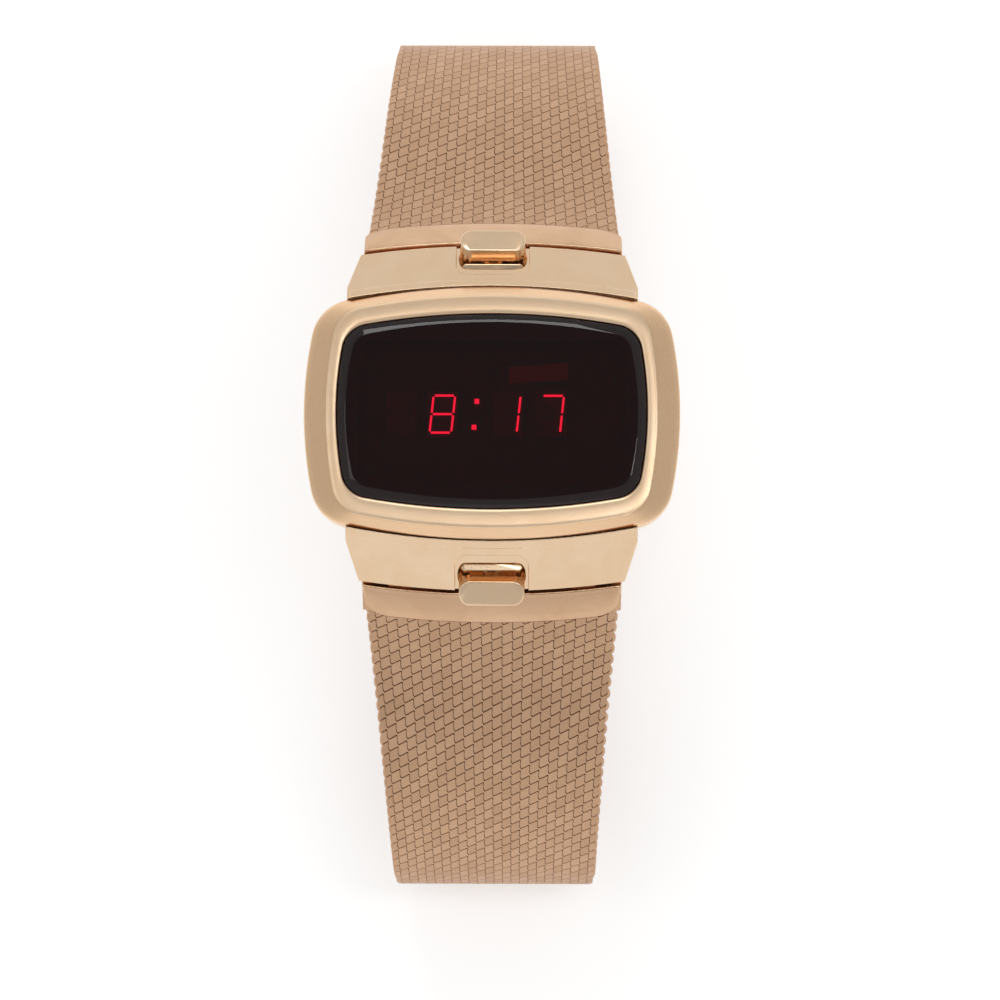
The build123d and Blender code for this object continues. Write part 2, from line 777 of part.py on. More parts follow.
for half_name, side in hinge_sides.items():
    # Spring bar, end link with its knuckle, and the mesh brazed into its socket
    axis_point = (side * hinge_reach, hinge_height)
    with BuildPart() as spring_bar:
        bar_end = ear_end - bar_wall - slide_fit
        cross_bar(axis_point, bar_radius, -bar_end, bar_end)
    save(spring_bar.part, half_name + "_spring_bar")

    with BuildPart() as end_link:
        root_start = link_gap - joint_sag(link_width / 2)
        root_section = crowned_section(slope_plane(side, link_slope, root_start), link_width, touch)
        extrude(root_section, amount=link_length - root_start)
        undercut = link_gap + link_depth * tan(radians(link_swing)) + running_gap
        with BuildSketch(slope_plane(side, link_slope, undercut)):
            with Locations((0, -link_depth / 2)):
                Rectangle(link_width, link_depth)
        extrude(amount=link_length - undercut)
        extrude(link_outline(side), amount=2 * hinge_depth, both=True, mode=Mode.INTERSECT)
        up_slope = slope_plane(side, link_slope).y_dir
        with BuildSketch(slope_plane(side, link_slope, link_length - mesh_socket)):
            with Locations((0, mesh_lift)):
                Rectangle(mesh_root_width + 2 * socket_fit, mesh_thickness + 2 * socket_fit)
        extrude(amount=mesh_socket + overrun, mode=Mode.SUBTRACT)
        with BuildSketch(slope_plane(side, link_slope)):
            Rectangle(2 * knuckle_end, 2 * knuckle_radius)
        extrude(amount=link_length - mesh_socket - running_gap)
        ear_pocket = ear_radius + running_gap
        mirrored_cross_bars(axis_point, ear_pocket, knuckle_end, ear_end + running_gap, Mode.SUBTRACT)
        cross_bar(axis_point, knuckle_radius, -knuckle_end, knuckle_end)
        cross_bar(axis_point, bar_hole_radius, -ear_end, ear_end, Mode.SUBTRACT)
    save(end_link.part, half_name + "_end_link")

    stations = [-mesh_socket + slide_fit, *flex_stations, mesh_half_length(side)]
    for number in range(1, len(stations)):
        start, end = stations[number - 1], stations[number]
        with BuildPart() as mesh:
            with BuildSketch(Plane.YZ):
                with BuildLine():
                    Polyline(*mesh_outline(side, start, end), close=True)
                make_face()
                if number < len(stations) - 1:
                    with Locations(band_point(end, side)):
                        Circle(mesh_thickness / 2)
                if number > 1:
                    with Locations(band_point(start, side)):
                        Circle(mesh_thickness / 2 + running_gap, mode=Mode.SUBTRACT)
            tapered = start < flex_stations[2]
            extrude(amount=(mesh_root_width if tapered else mesh_tip_width) / 2, both=True)
            if tapered:
                plan = plan_taper() if side > 0 else plan_taper().rotate(Axis.Z, 180)
                plate(plan, 0, crystal_top, Mode.INTERSECT)
        save(mesh.part, half_name + "_mesh_" + str(number))

    # Pusher with its stem, spring and switch leaf
    with BuildPart() as button:
        extrude(pusher_section(pusher_plane(side, pusher_rear), touch), amount=pusher_reach - pusher_rear)
        plate(pusher_plan(side), 0, crystal_top, Mode.INTERSECT)
        face_normal = Vector(0, side * sin(radians(pusher_face_slope)), cos(radians(pusher_face_slope)))
        face_point = Vector(0, side * pusher_face_start, pusher_centre + pusher_height_span / 2)
        split(bisect_by=Plane(origin=face_point, z_dir=face_normal), keep=Keep.BOTTOM)
        with BuildSketch(pusher_plane(side, stem_tip)):
            Circle(stem_radius)
        extrude(amount=pusher_rear - stem_tip)
    save(button.part, half_name + "_button")

    with BuildPart() as button_spring:
        spring_start = spring_bore_start + press_fit
        with BuildSketch(pusher_plane(side, spring_start)):
            Circle(spring_bore_radius - press_fit)
            Circle(spring_bore_radius - press_fit - spring_wire, mode=Mode.SUBTRACT)
        extrude(amount=pusher_rear - spring_start)
    save(button_spring.part, half_name + "_button_spring")

    with BuildPart() as switch_contact:
        with BuildSketch(Plane.XY.offset(spigot_top)):
            with Locations((0, side * (leaf_inner + leaf_outer) / 2)):
                Rectangle(leaf_width, leaf_thickness)
        extrude(amount=leaf_height)
    save(switch_contact.part, half_name + "_switch_contact")

# Clasp: a flat tube round the lower half, open below for the lever, with a hook bar at its inner end
clasp_half_passage = mesh_tip_width / 2 + running_gap
clasp_half_width = clasp_half_passage + clasp_side_wall
pin_end = clasp_half_width - pin_skin
passage_top = mesh_floor + mesh_thickness + running_gap
clasp_top = passage_top + clasp_wall
lever_axis = (clasp_outer_end + lever_barrel_radius + slide_fit, lever_floor_gap + lever_barrel_radius)
hook_bar_place = (hook_bar_out, flat_height)


def box_between(low, high, mode=Mode.ADD):
    """Box between two corners."""
    low, high = Vector(low), Vector(high)
    size = high - low
    centre = (low + high) * 0.5
    with Locations(centre):
        Box(size.X, size.Y, size.Z, mode=mode)


with BuildPart() as clasp_body:
    box_between((-clasp_half_width, clasp_outer_end, 0), (clasp_half_width, clasp_inner_end, clasp_top))
    fillet(edges().filter_by(Axis.Y).group_by(Axis.Z)[-1], clasp_edge)
    for x_side in (-1, 1):
        arm_centre = x_side * (clasp_half_width - clasp_side_wall / 2)
        arm_half = clasp_side_wall / 2
        box_between(
            (arm_centre - arm_half, clasp_inner_end, flat_height - arm_height / 2),
            (arm_centre + arm_half, clasp_inner_end + arm_reach, flat_height + arm_height / 2),
        )
    box_between(
        (-clasp_half_passage, clasp_outer_end - overrun, mesh_floor - running_gap / 2),
        (clasp_half_passage, clasp_inner_end + overrun, passage_top),
        Mode.SUBTRACT,
    )
    box_between(
        (-clasp_half_passage, clasp_outer_end - overrun, -overrun),
        (clasp_half_passage, clasp_window_end, passage_top),
        Mode.SUBTRACT,
    )
    for place, radius in ((hook_bar_place, hook_bar_radius), (lever_axis, lever_pin_radius)):
        cross_bar(place, radius + press_fit, -pin_end, pin_end, Mode.SUBTRACT)
save(clasp_body.part, "clasp_body")

with BuildPart() as clasp_hook_bar:
    cross_bar(hook_bar_place, hook_bar_radius, -pin_end, pin_end)
save(clasp_hook_bar.part, "clasp_hook_bar")

with BuildPart() as clasp_lever_pin:
    cross_bar(lever_axis, lever_pin_radius, -pin_end, pin_end)
save(clasp_lever_pin.part, "clasp_lever_pin")

with BuildPart() as clasp_lever:
    lever_half_width = clasp_half_passage - running_gap
    cross_bar(lever_axis, lever_barrel_radius, -lever_half_width, lever_half_width)
    box_between(
        (-lever_half_width, lever_axis[0], lever_floor_gap),
        (lever_half_width, clasp_window_end - running_gap, lever_floor_gap + lever_thickness),
    )
    with BuildSketch(Plane.XY):
        with Locations((0, clasp_window_end - running_gap)):
            Circle(lever_nib)
    extrude(amount=lever_floor_gap + lever_thickness / 2, mode=Mode.SUBTRACT)
    pin_hole_radius = lever_pin_radius + slide_fit / 2
    cross_bar(lever_axis, pin_hole_radius, -lever_half_width, lever_half_width, Mode.SUBTRACT)
save(clasp_lever.part, "clasp_lever")

with BuildPart() as mesh_tip_ferrule:
    tip_start = clasp_inner_end - tip_inset
    box_between(
        (-mesh_tip_width / 2, tip_start, mesh_floor),
        (mesh_tip_width / 2, tip_start + ferrule_length, mesh_floor + mesh_thickness),
    )
    fillet(faces().sort_by(Axis.Y)[-1].edges(), ferrule_edge)
save(mesh_tip_ferrule.part, "mesh_tip_ferrule")

with BuildPart() as hook_plate:
    box_between(
        (-mesh_tip_width / 2, upper_ferrule_start, mesh_floor),
        (mesh_tip_width / 2, upper_mesh_end, mesh_floor + mesh_thickness),
    )
    with BuildSketch(Plane.YZ.offset(-hook_width / 2)):
        with Locations((hook_centre, flat_height)):
            Circle(hook_outer_radius)
            with Locations((hook_outer_radius, 0)):
                Rectangle(2 * hook_outer_radius, 2 * hook_outer_radius, mode=Mode.SUBTRACT)
        with Locations((hook_centre, flat_height + hook_outer_radius - hook_wall / 2)):
            Rectangle(hook_shank + hook_wall, hook_wall, align=(Align.MIN, Align.CENTER))
        with Locations((hook_centre, flat_height - hook_outer_radius + hook_wall / 2)):
            Rectangle(hook_lip, hook_wall, align=(Align.MIN, Align.CENTER))
        with Locations((hook_centre, flat_height)):
            Circle(hook_outer_radius - hook_wall, mode=Mode.SUBTRACT)
    extrude(amount=hook_width)
save(hook_plate.part, "hook_plate")

figures = {
    "crystal top": crystal_top,
    "back face": back_face,
    "hinge height": hinge_height,
    "band reach": path_start_out + band_reach + mesh_thickness / 2,
    "path length": path_length,
    "pusher centre": pusher_centre,
    "lever axis out": lever_axis[0],
    "lever axis up": lever_axis[1],
    "flat height": flat_height,
    "hook centre": hook_centre,
}
for name, value in figures.items():
    print(name, round(value, 3))
for number, station in enumerate(flex_stations, 1):
    print("flex", number, [round(value, 3) for value in band_point(station)])
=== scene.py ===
"""Dresses the LED wristwatch: band mesh, bezel, crystal, materials, light and camera.

Same frame as the solids: +X to 3 o'clock, +Y to 12 o'clock, +Z out of the display, floor at z = 0.
The working numbers below are millimetres; every mesh is scaled to metres when it is made.
"""
import bmesh
import bpy
import numpy as np
from math import cos, radians, sin, pi, sqrt
from mathutils import Matrix, Vector


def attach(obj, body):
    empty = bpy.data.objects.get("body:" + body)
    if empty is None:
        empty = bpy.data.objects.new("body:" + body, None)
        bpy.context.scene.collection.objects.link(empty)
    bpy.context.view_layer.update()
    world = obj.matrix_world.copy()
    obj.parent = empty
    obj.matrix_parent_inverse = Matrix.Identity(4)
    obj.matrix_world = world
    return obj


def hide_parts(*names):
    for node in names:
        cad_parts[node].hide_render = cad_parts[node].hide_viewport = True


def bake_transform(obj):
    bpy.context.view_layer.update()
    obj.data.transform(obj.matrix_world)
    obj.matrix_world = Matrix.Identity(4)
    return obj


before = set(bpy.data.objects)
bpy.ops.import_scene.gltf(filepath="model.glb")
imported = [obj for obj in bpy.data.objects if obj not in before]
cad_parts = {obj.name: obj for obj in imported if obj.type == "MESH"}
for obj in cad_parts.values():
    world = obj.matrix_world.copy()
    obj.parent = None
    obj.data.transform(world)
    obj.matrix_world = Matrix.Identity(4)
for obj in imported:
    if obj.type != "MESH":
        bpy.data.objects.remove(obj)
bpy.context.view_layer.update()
MM = 0.001

# Camera: elevation and lens from a fit to the photograph, azimuth and roll given

SENSOR_WIDTH = 36.0
LENS = 241.88
CLIP_START = 0.05
CLIP_END = 20.0
AZIMUTH = 5.5
ELEVATION = 82.879
ROLL = -5.31
CAMERA_DISTANCE = 0.7
CAMERA_TARGET = (0.00062, -0.006464, 0.030)


def place_camera():
    """Long lens on the target, turned by azimuth, elevation and roll in degrees."""
    data = bpy.data.cameras.new("camera")
    data.sensor_width = SENSOR_WIDTH
    data.lens = LENS
    data.clip_start = CLIP_START
    data.clip_end = CLIP_END
    azimuth, elevation, roll = radians(AZIMUTH), radians(ELEVATION), radians(ROLL)
    back = Vector((sin(azimuth) * cos(elevation), -cos(azimuth) * cos(elevation), sin(elevation)))
    right = (-back).cross(Vector((0, 0, 1))).normalized()
    up = right.cross(-back)
    turned_right = right * cos(roll) + up * sin(roll)
    turned_up = up * cos(roll) - right * sin(roll)
    place = Matrix((turned_right, turned_up, back)).transposed().to_4x4()
    place.translation = Vector(CAMERA_TARGET) + back * CAMERA_DISTANCE
    camera = bpy.data.objects.new("camera", data)
    camera.matrix_world = place
    bpy.context.collection.objects.link(camera)
    bpy.context.scene.camera = camera


bpy.context.scene.view_settings.view_transform = "Standard"
place_camera()

# Material helpers


class Shader:
    """A material under construction: its tree, its surface shader and short ways to add nodes."""

    def __init__(self, name):
        self.material = bpy.data.materials.new(name)
        self.material.use_nodes = True
        self.tree = self.material.node_tree
        self.surface = self.tree.nodes["Principled BSDF"]

    def node(self, kind, **settings):
        made = self.tree.nodes.new(kind)
        for key, value in settings.items():
            setattr(made, key, value)
        return made

    def link(self, source, target):
        self.tree.links.new(source, target)

    def place(self, scale=(1, 1, 1), turn=(0, 0, 0)):
        """Object coordinates, scaled and turned."""
        coordinates = self.node("ShaderNodeTexCoord")
        mapping = self.node("ShaderNodeMapping")
        mapping.inputs["Scale"].default_value = scale
        mapping.inputs["Rotation"].default_value = turn
        self.link(coordinates.outputs["Object"], mapping.inputs["Vector"])
        return mapping.outputs["Vector"]

    def noise(self, vector, scale, detail=3.0, rough=0.55, distortion=0.0):
        made = self.node("ShaderNodeTexNoise")
        made.inputs["Scale"].default_value = scale
        made.inputs["Detail"].default_value = detail
        made.inputs["Roughness"].default_value = rough
        made.inputs["Distortion"].default_value = distortion
        self.link(vector, made.inputs["Vector"])
        return made.outputs["Fac"]

    def span(self, value, low, high, to_low, to_high):
        made = self.node("ShaderNodeMapRange")
        made.inputs["From Min"].default_value = low
        made.inputs["From Max"].default_value = high
        made.inputs["To Min"].default_value = to_low
        made.inputs["To Max"].default_value = to_high
        self.link(value, made.inputs["Value"])
        return made.outputs["Result"]

    def math(self, operation, first, second):
        made = self.node("ShaderNodeMath", operation=operation)
        for socket, value in zip(made.inputs, (first, second)):
            if isinstance(value, (int, float)):
                socket.default_value = value
            else:
                self.link(value, socket)
        return made.outputs[0]

    def mix(self, factor, first, second):
        made = self.node("ShaderNodeMix", data_type="RGBA")
        self.link(factor, made.inputs[0])
        for socket, value in ((made.inputs[6], first), (made.inputs[7], second)):
            if isinstance(value, tuple):
                socket.default_value = (*value, 1)
            else:
                self.link(value, socket)
        return made.outputs[2]

    def attribute(self, name):
        return self.node("ShaderNodeAttribute", attribute_name=name).outputs["Fac"]

    def set(self, **values):
        for key, value in values.items():
            name = key.replace("_", " ")
            if isinstance(value, (int, float)):
                self.surface.inputs[name].default_value = value
            elif isinstance(value, tuple):
                self.surface.inputs[name].default_value = (*value, 1)
            else:
                self.link(value, self.surface.inputs[name])

    def bump(self, height, strength, distance):
        made = self.node("ShaderNodeBump")
        made.inputs["Strength"].default_value = strength
        made.inputs["Distance"].default_value = distance
        self.link(height, made.inputs["Height"])
        self.link(made.outputs["Normal"], self.surface.inputs["Normal"])
        return made

    def soft_edges(self, radius):
        """Rounds the shading of sharp edges by a small radius, in metres."""
        made = self.node("ShaderNodeBevel", samples=6)
        made.inputs["Radius"].default_value = radius
        return made.outputs["Normal"]


def polished_metal(name, pale, deep, low, high, edge=0.0, scratch=0.25):
    """Polished plate with handling marks: soft smudges, fine scratches and a little tone."""
    shader = Shader(name)
    place = shader.place()
    smudge = shader.noise(place, 220, 4, 0.6, 0.6)
    fine = shader.noise(shader.place((1, 5, 2), (0, 0, 0.3)), 2600, 3, 0.6)
    cross = shader.noise(shader.place((6, 1, 2), (0, 0, -0.5)), 1900, 3, 0.6)
    marks = shader.math("MULTIPLY", fine, cross)
    tone = shader.span(smudge, 0.3, 0.75, 0, 1)
    shader.set(Base_Color=shader.mix(tone, pale, deep), Metallic=1.0)
    smudged = shader.span(smudge, 0.35, 0.7, low, high)
    marked = shader.span(marks, 0.25, 0.5, 0, 0.1)
    shader.set(Roughness=shader.math("ADD", smudged, marked))
    bump = shader.bump(marks, scratch, 0.00001)
    if edge:
        shader.link(shader.soft_edges(edge), bump.inputs["Normal"])
    return shader.material


def brushed_metal(name, pale, deep, scale, rough=0.3, edge=0.0, depth=0.000015):
    """Brushed plate: long fine lines along the axis whose scale is smallest."""
    shader = Shader(name)
    lines = shader.noise(shader.place(scale), 1, 5, 0.7)
    broad = shader.noise(shader.place(), 160, 3)
    line_tone = shader.span(lines, 0.3, 0.7, 0.4, 1)
    broad_tone = shader.span(broad, 0.3, 0.7, 0.6, 1)
    tone = shader.math("MULTIPLY", line_tone, broad_tone)
    shader.set(Base_Color=shader.mix(tone, deep, pale), Metallic=1.0)
    shader.set(Roughness=shader.span(lines, 0.25, 0.75, rough - 0.08, rough + 0.1))
    bump = shader.bump(lines, 0.5, depth)
    if edge:
        shader.link(shader.soft_edges(edge), bump.inputs["Normal"])
    return shader.material


def moulded(name, pale, deep, rough, grain, specular=0.5, edge=0.0):
    """Rubber, plastic or ceramic: a fine grain, low contrast."""
    shader = Shader(name)
    place = shader.place()
    speck = shader.noise(place, grain, 4, 0.6)
    broad = shader.noise(place, grain / 12, 2)
    shader.set(Base_Color=shader.mix(shader.math("MULTIPLY", speck, broad), pale, deep))
    roughness = shader.span(speck, 0.3, 0.7, rough - 0.06, rough + 0.08)
    shader.set(Roughness=roughness, Specular_IOR_Level=specular)
    bump = shader.bump(speck, 0.35, 0.00001)
    if edge:
        shader.link(shader.soft_edges(edge), bump.inputs["Normal"])
    return shader.material


GOLD = (0.84, 0.590, 0.375)
GOLD_DEEP = (0.76, 0.480, 0.275)
GOLD_PALE = (0.88, 0.660, 0.450)
# Mesh gold: the case's gold painted darker, as painted shade on the band
MESH_DEEP_SHADED = (0.50, 0.305, 0.185)
MESH_PALE_SHADED = (0.64, 0.412, 0.262)
# End-link gold: the case's gold painted darker, as painted shade
LINK_GOLD_SHADED = (0.65, 0.425, 0.270)
LINK_DEEP_SHADED = (0.57, 0.358, 0.215)
# Deeper orange gold for the pushers' inner walls: painted reflection of the case
CASE_REFLECTION_GOLD = (0.70, 0.385, 0.170)

gold_polished = polished_metal("gold_polished", GOLD_PALE, GOLD, 0.08, 0.2, edge=0.00012)
gold_ring = polished_metal("gold_ring", GOLD_PALE, GOLD, 0.3, 0.34, scratch=0.04)
gold_link = polished_metal("gold_link", LINK_GOLD_SHADED, LINK_DEEP_SHADED, 0.16, 0.26, edge=0.00008)
gold_button_painted_reflection = polished_metal("gold_button_painted_reflection", GOLD_DEEP, CASE_REFLECTION_GOLD, 0.1, 0.2, scratch=0.1)
gold_button = polished_metal("gold_button", GOLD_PALE, GOLD, 0.14, 0.22, scratch=0.1)
gold_clasp = brushed_metal("gold_clasp", GOLD_PALE, GOLD_DEEP, (9000, 300, 3000), 0.28, edge=0.0001)
steel_back = brushed_metal(
    "steel_back", (0.72, 0.70, 0.67), (0.52, 0.50, 0.48), (300, 9000, 3000), 0.3, edge=0.0001
)
steel_small = polished_metal(
    "steel_small", (0.70, 0.68, 0.65), (0.5, 0.48, 0.46), 0.18, 0.3, edge=0.00005
)
cell_can = brushed_metal("cell_can", (0.78, 0.77, 0.75), (0.60, 0.59, 0.57), (4000, 4000, 900), 0.25)
contact_brass = polished_metal("contact_brass", (0.80, 0.62, 0.32), (0.60, 0.42, 0.18), 0.2, 0.34)
black_rubber = moulded("black_rubber", (0.012, 0.012, 0.012), (0.035, 0.034, 0.033), 0.6, 9000, 0.3)
black_plastic = moulded("black_plastic", (0.012, 0.012, 0.013), (0.04, 0.04, 0.042), 0.45, 6000)
dark_ceramic = moulded("dark_ceramic", (0.006, 0.005, 0.005), (0.018, 0.014, 0.013), 0.5, 5000)
chip_body = moulded("chip_body", (0.01, 0.01, 0.011), (0.03, 0.03, 0.032), 0.4, 7000)


def chamfer_metal():
    """Brushed bezel chamfer: lines that follow the case outline, by its mesh's sweep attributes."""
    shader = Shader("gold_chamfer")
    join = shader.node("ShaderNodeCombineXYZ")
    shader.link(shader.math("MULTIPLY", shader.attribute("sweep_along"), 0.35), join.inputs[0])
    shader.link(shader.math("MULTIPLY", shader.attribute("sweep_across"), 26.0), join.inputs[1])
    lines = shader.noise(join.outputs[0], 1, 5, 0.75)
    broad = shader.noise(shader.place(), 140, 3)
    line_tone = shader.span(lines, 0.3, 0.7, 0.5, 1)
    broad_tone = shader.span(broad, 0.3, 0.7, 0.7, 1)
    tone = shader.math("MULTIPLY", line_tone, broad_tone)
    shader.set(Base_Color=shader.mix(tone, GOLD_DEEP, GOLD), Metallic=1.0)
    shader.set(Roughness=shader.span(lines, 0.25, 0.75, 0.2, 0.34))
    shader.bump(lines, 0.35, 0.00001)
    return shader.material


def tile_metal():
    """Flat-polished mesh: each tile has its own tone, with fine marks across the band; its gold is
    painted darker than the case's, as painted shade.
    """
    shader = Shader("gold_mesh")
    tile_tone = shader.attribute("tile_tone")
    scratch = shader.noise(shader.place((1, 14, 6)), 700, 4, 0.7)
    grain = shader.noise(shader.place(), 1600, 3)
    own_tone = shader.math("MULTIPLY", tile_tone, 0.3)
    tone = shader.math("ADD", own_tone, shader.span(scratch, 0.3, 0.7, 0, 0.7))
    shader.set(Base_Color=shader.mix(tone, MESH_DEEP_SHADED, MESH_PALE_SHADED), Metallic=1.0)
    own_rough = shader.span(tile_tone, 0, 1, 0.46, 0.4)
    shader.set(Roughness=shader.math("ADD", own_rough, shader.span(scratch, 0.35, 0.7, 0, 0.12)))
    shader.bump(shader.math("ADD", scratch, grain), 0.25, 0.00001)
    return shader.material


def core_painted_shade():
    """Wire between the tiles: dark, dull gold, as painted shade in the gaps."""
    shader = Shader("gold_mesh_core_painted_shade")
    grain = shader.noise(shader.place(), 1800, 3)
    shader.set(Base_Color=shader.mix(grain, (0.26, 0.15, 0.08), (0.42, 0.27, 0.155)), Metallic=1.0)
    shader.set(Roughness=shader.span(grain, 0.3, 0.7, 0.4, 0.6))
    return shader.material


def glass_red():
    """Dark red crystal: clear surface, deep tint, faint dust in its roughness."""
    shader = Shader("red_crystal")
    dust = shader.noise(shader.place(), 900, 5, 0.7)
    shader.set(Base_Color=(0.42, 0.030, 0.045), Transmission_Weight=1.0, IOR=1.5)
    shader.set(Roughness=shader.span(dust, 0.5, 0.85, 0.0, 0.05))
    return shader.material


def glowing(name, colour, strength):
    """Lit segment: a glow with a fine grain."""
    shader = Shader(name)
    grain = shader.noise(shader.place(), 5200, 2)
    shader.set(Base_Color=(0.25, 0.01, 0.02), Emission_Color=colour, Roughness=0.4)
    shader.set(Emission_Strength=shader.span(grain, 0.2, 0.8, strength * 0.85, strength * 1.15))
    return shader.material


gold_chamfer = chamfer_metal()
gold_mesh = tile_metal()
# Dark core: painted shade in the gaps between the tiles
gold_mesh_core_painted_shade = core_painted_shade()
red_crystal = glass_red()
lit_bar = glowing("lit_bar", (1.0, 0.10, 0.36), 2.6)
digit_chip = moulded("digit_chip", (0.02, 0.01, 0.01), (0.16, 0.08, 0.07), 0.4, 2600)
unlit_bar = moulded("unlit_bar", (0.05, 0.03, 0.03), (0.10, 0.06, 0.05), 0.4, 8000)
sensor_window = moulded("sensor_window", (0.16, 0.03, 0.04), (0.30, 0.06, 0.07), 0.35, 3000)

slot_materials = {
    "gold_bezel": gold_ring,
    "gold_case": gold_polished,
    "gold_button": gold_button,
    "gold_link": gold_link,
    "gold_mesh": gold_mesh,
    "gold_clasp": gold_clasp,
    "red_crystal": red_crystal,
    "black_rubber": black_rubber,
    "steel_back": steel_back,
    "steel_small": steel_small,
    "cell_can": cell_can,
    "contact_brass": contact_brass,
    "black_plastic": black_plastic,
    "dark_ceramic": dark_ceramic,
    "chip_body": chip_body,
    "digit_chip": digit_chip,
    "unlit_bar": unlit_bar,
    "sensor_window": sensor_window,
    "lit_bar": lit_bar,
}

# Mesh helpers


def make_object(name, vertices, faces, materials, indices=None, smooth=None, floats=None):
    """Mesh object from millimetre vertices, with materials by index and float attributes by point."""
    mesh = bpy.data.meshes.new(name)
    mesh.from_pydata((np.asarray(vertices) * MM).tolist(), [], faces)
    for each in materials:
        mesh.materials.append(each)
    if indices is not None:
        mesh.polygons.foreach_set("material_index", np.asarray(indices, np.int32))
    if smooth is not None:
        mesh.polygons.foreach_set("use_smooth", np.asarray(smooth))
    for key, values in (floats or {}).items():
        attribute = mesh.attributes.new(key, "FLOAT", "POINT")
        attribute.data.foreach_set("value", np.asarray(values, np.float32))
    mesh.update()
    made = bpy.data.objects.new(name, mesh)
    bpy.context.collection.objects.link(made)
    return made


def smooth_by_angle(obj, degrees_limit):
    """Smooth shading with sharp edges where faces meet at more than an angle."""
    mesh = obj.data
    mesh.polygons.foreach_set("use_smooth", np.ones(len(mesh.polygons), bool))
    mesh.set_sharp_from_angle(angle=radians(degrees_limit))


def tube_faces(levels, n):
    """Faces between rings of n points that follow each other."""
    faces = []
    for i in range(levels - 1):
        for j in range(n):
            k = (j + 1) % n
            faces.append((i * n + j, i * n + k, (i + 1) * n + k, (i + 1) * n + j))
    return faces


class Builder:
    """Collects several meshes into one."""

    def __init__(self):
        self.vertices = []
        self.faces = []
        self.indices = []
        self.smooth = []
        self.tones = []
        self.count = 0

    def add(self, vertices, faces, index=0, smooth=False, tone=0.5):
        """Adds one mesh; the tone is one number, or one for each point."""
        vertices = np.asarray(vertices, float).reshape(-1, 3)
        self.vertices.append(vertices)
        base = self.count
        self.faces.extend([base + v for v in face] for face in faces)
        self.indices.extend([index] * len(faces))
        self.smooth.extend([smooth] * len(faces))
        self.tones.append(np.broadcast_to(tone, len(vertices)))
        self.count += len(vertices)

    def done(self, name, materials):
        return make_object(
            name,
            np.concatenate(self.vertices),
            self.faces,
            materials,
            self.indices,
            self.smooth,
            {"tile_tone": np.concatenate(self.tones)},
        )


# Band path, as in the solids

LINK_SLOPE = radians(48.0)
LINK_LIFT = 0.1
LINK_LENGTH = 3.3
FLAT_HEIGHT = 3.175
THICKNESS = 2.4
HALF = THICKNESS / 2
ROW = 1.41
HINGE_REACH = 16.54
PATH_STEP = 0.02
PATH_END = 110
LEAD_LENGTH = 3
LEAD_STEP = 0.1
# Distances along the band of the cuts between the woven pieces
CUTS = (24.5, 35.75, 45.0)
BAND_START = -0.9
UPPER_END_REACH = 12.47
LOWER_OVERLAP = 3.0


def arc_span(slope_from, slope_to, radius):
    """Length of an arc between two slopes in degrees, and its bend in radians per millimetre."""
    turn = radians(slope_to - slope_from)
    return abs(turn) * radius, turn / (abs(turn) * radius)


# Length and bend of each span of the path, from the end link to the flat floor side
SPANS = (
    (2.5, 0.0),
    arc_span(48, 34, 40.0),
    arc_span(34, 60, 45.0),
    arc_span(60, 90, 17.0),
    arc_span(90, 180, 7.0),
)


def path_table():
    """Distance, outward place, height and slope along the band, at short even steps."""
    step = PATH_STEP
    slope = LINK_SLOPE
    start_out = HINGE_REACH + LINK_LIFT * sin(slope) + LINK_LENGTH * cos(slope)
    rows = [(0.0, 0.0, 0.0, slope)]
    edges = np.cumsum([length for length, bend in SPANS])
    distance = 0.0
    out, up = 0.0, 0.0
    while distance < PATH_END:
        index = int(np.searchsorted(edges, distance + step / 2))
        bend = SPANS[index][1] if index < len(SPANS) else 0.0
        middle = slope + bend * step / 2
        out += cos(middle) * step
        up -= sin(middle) * step
        slope += bend * step
        distance += step
        rows.append((distance, out, up, slope))
    table = np.array(rows)
    end = np.searchsorted(table[:, 0], edges[-1])
    table[:, 1] += start_out
    table[:, 2] += FLAT_HEIGHT - table[end, 2]
    before = np.arange(-LEAD_LENGTH, 0, LEAD_STEP)
    lead = np.stack(
        [
            before,
            start_out + before * cos(LINK_SLOPE),
            table[0, 2] - before * sin(LINK_SLOPE),
            np.full_like(before, LINK_SLOPE),
        ],
        axis=1,
    )
    return np.concatenate([lead, table])


PATH = path_table()
PATH_LENGTH = float(sum(length for length, bend in SPANS))
TURN_END_OUT = float(np.interp(PATH_LENGTH, PATH[:, 0], PATH[:, 1]))
UPPER_LENGTH = PATH_LENGTH + TURN_END_OUT - UPPER_END_REACH
LOWER_LENGTH = PATH_LENGTH + TURN_END_OUT + LOWER_OVERLAP


def band(distance, rise):
    """Outward place and height at distances along the band, raised towards its outer face."""
    out = np.interp(distance, PATH[:, 0], PATH[:, 1])
    up = np.interp(distance, PATH[:, 0], PATH[:, 2])
    slope = np.interp(distance, PATH[:, 0], PATH[:, 3])
    return out + rise * np.sin(slope), up + rise * np.cos(slope)


WIDEST_REACH = 46.34
WIDEST_DISTANCE = 40.5
LINK_HALF_WIDTH = 13.2
TAPER = 3.1
TAPER_EASE = 0.42
FLOOR_TAPER = 0.32
FLOOR_TAPER_START = 48.0
FLOOR_TAPER_LENGTH = 12.0


def half_width(distance):
    """Half the width of the band at a distance along it."""
    out = np.interp(distance, PATH[:, 0], PATH[:, 1])
    out = np.where(np.asarray(distance) > WIDEST_DISTANCE, WIDEST_REACH, out)
    share = np.clip((out - HINGE_REACH) / (WIDEST_REACH - HINGE_REACH), 0, 1)
    flat = np.clip((np.asarray(distance) - FLOOR_TAPER_START) / FLOOR_TAPER_LENGTH, 0, 1)
    return LINK_HALF_WIDTH - TAPER * share + TAPER_EASE * share * share - FLOOR_TAPER * flat


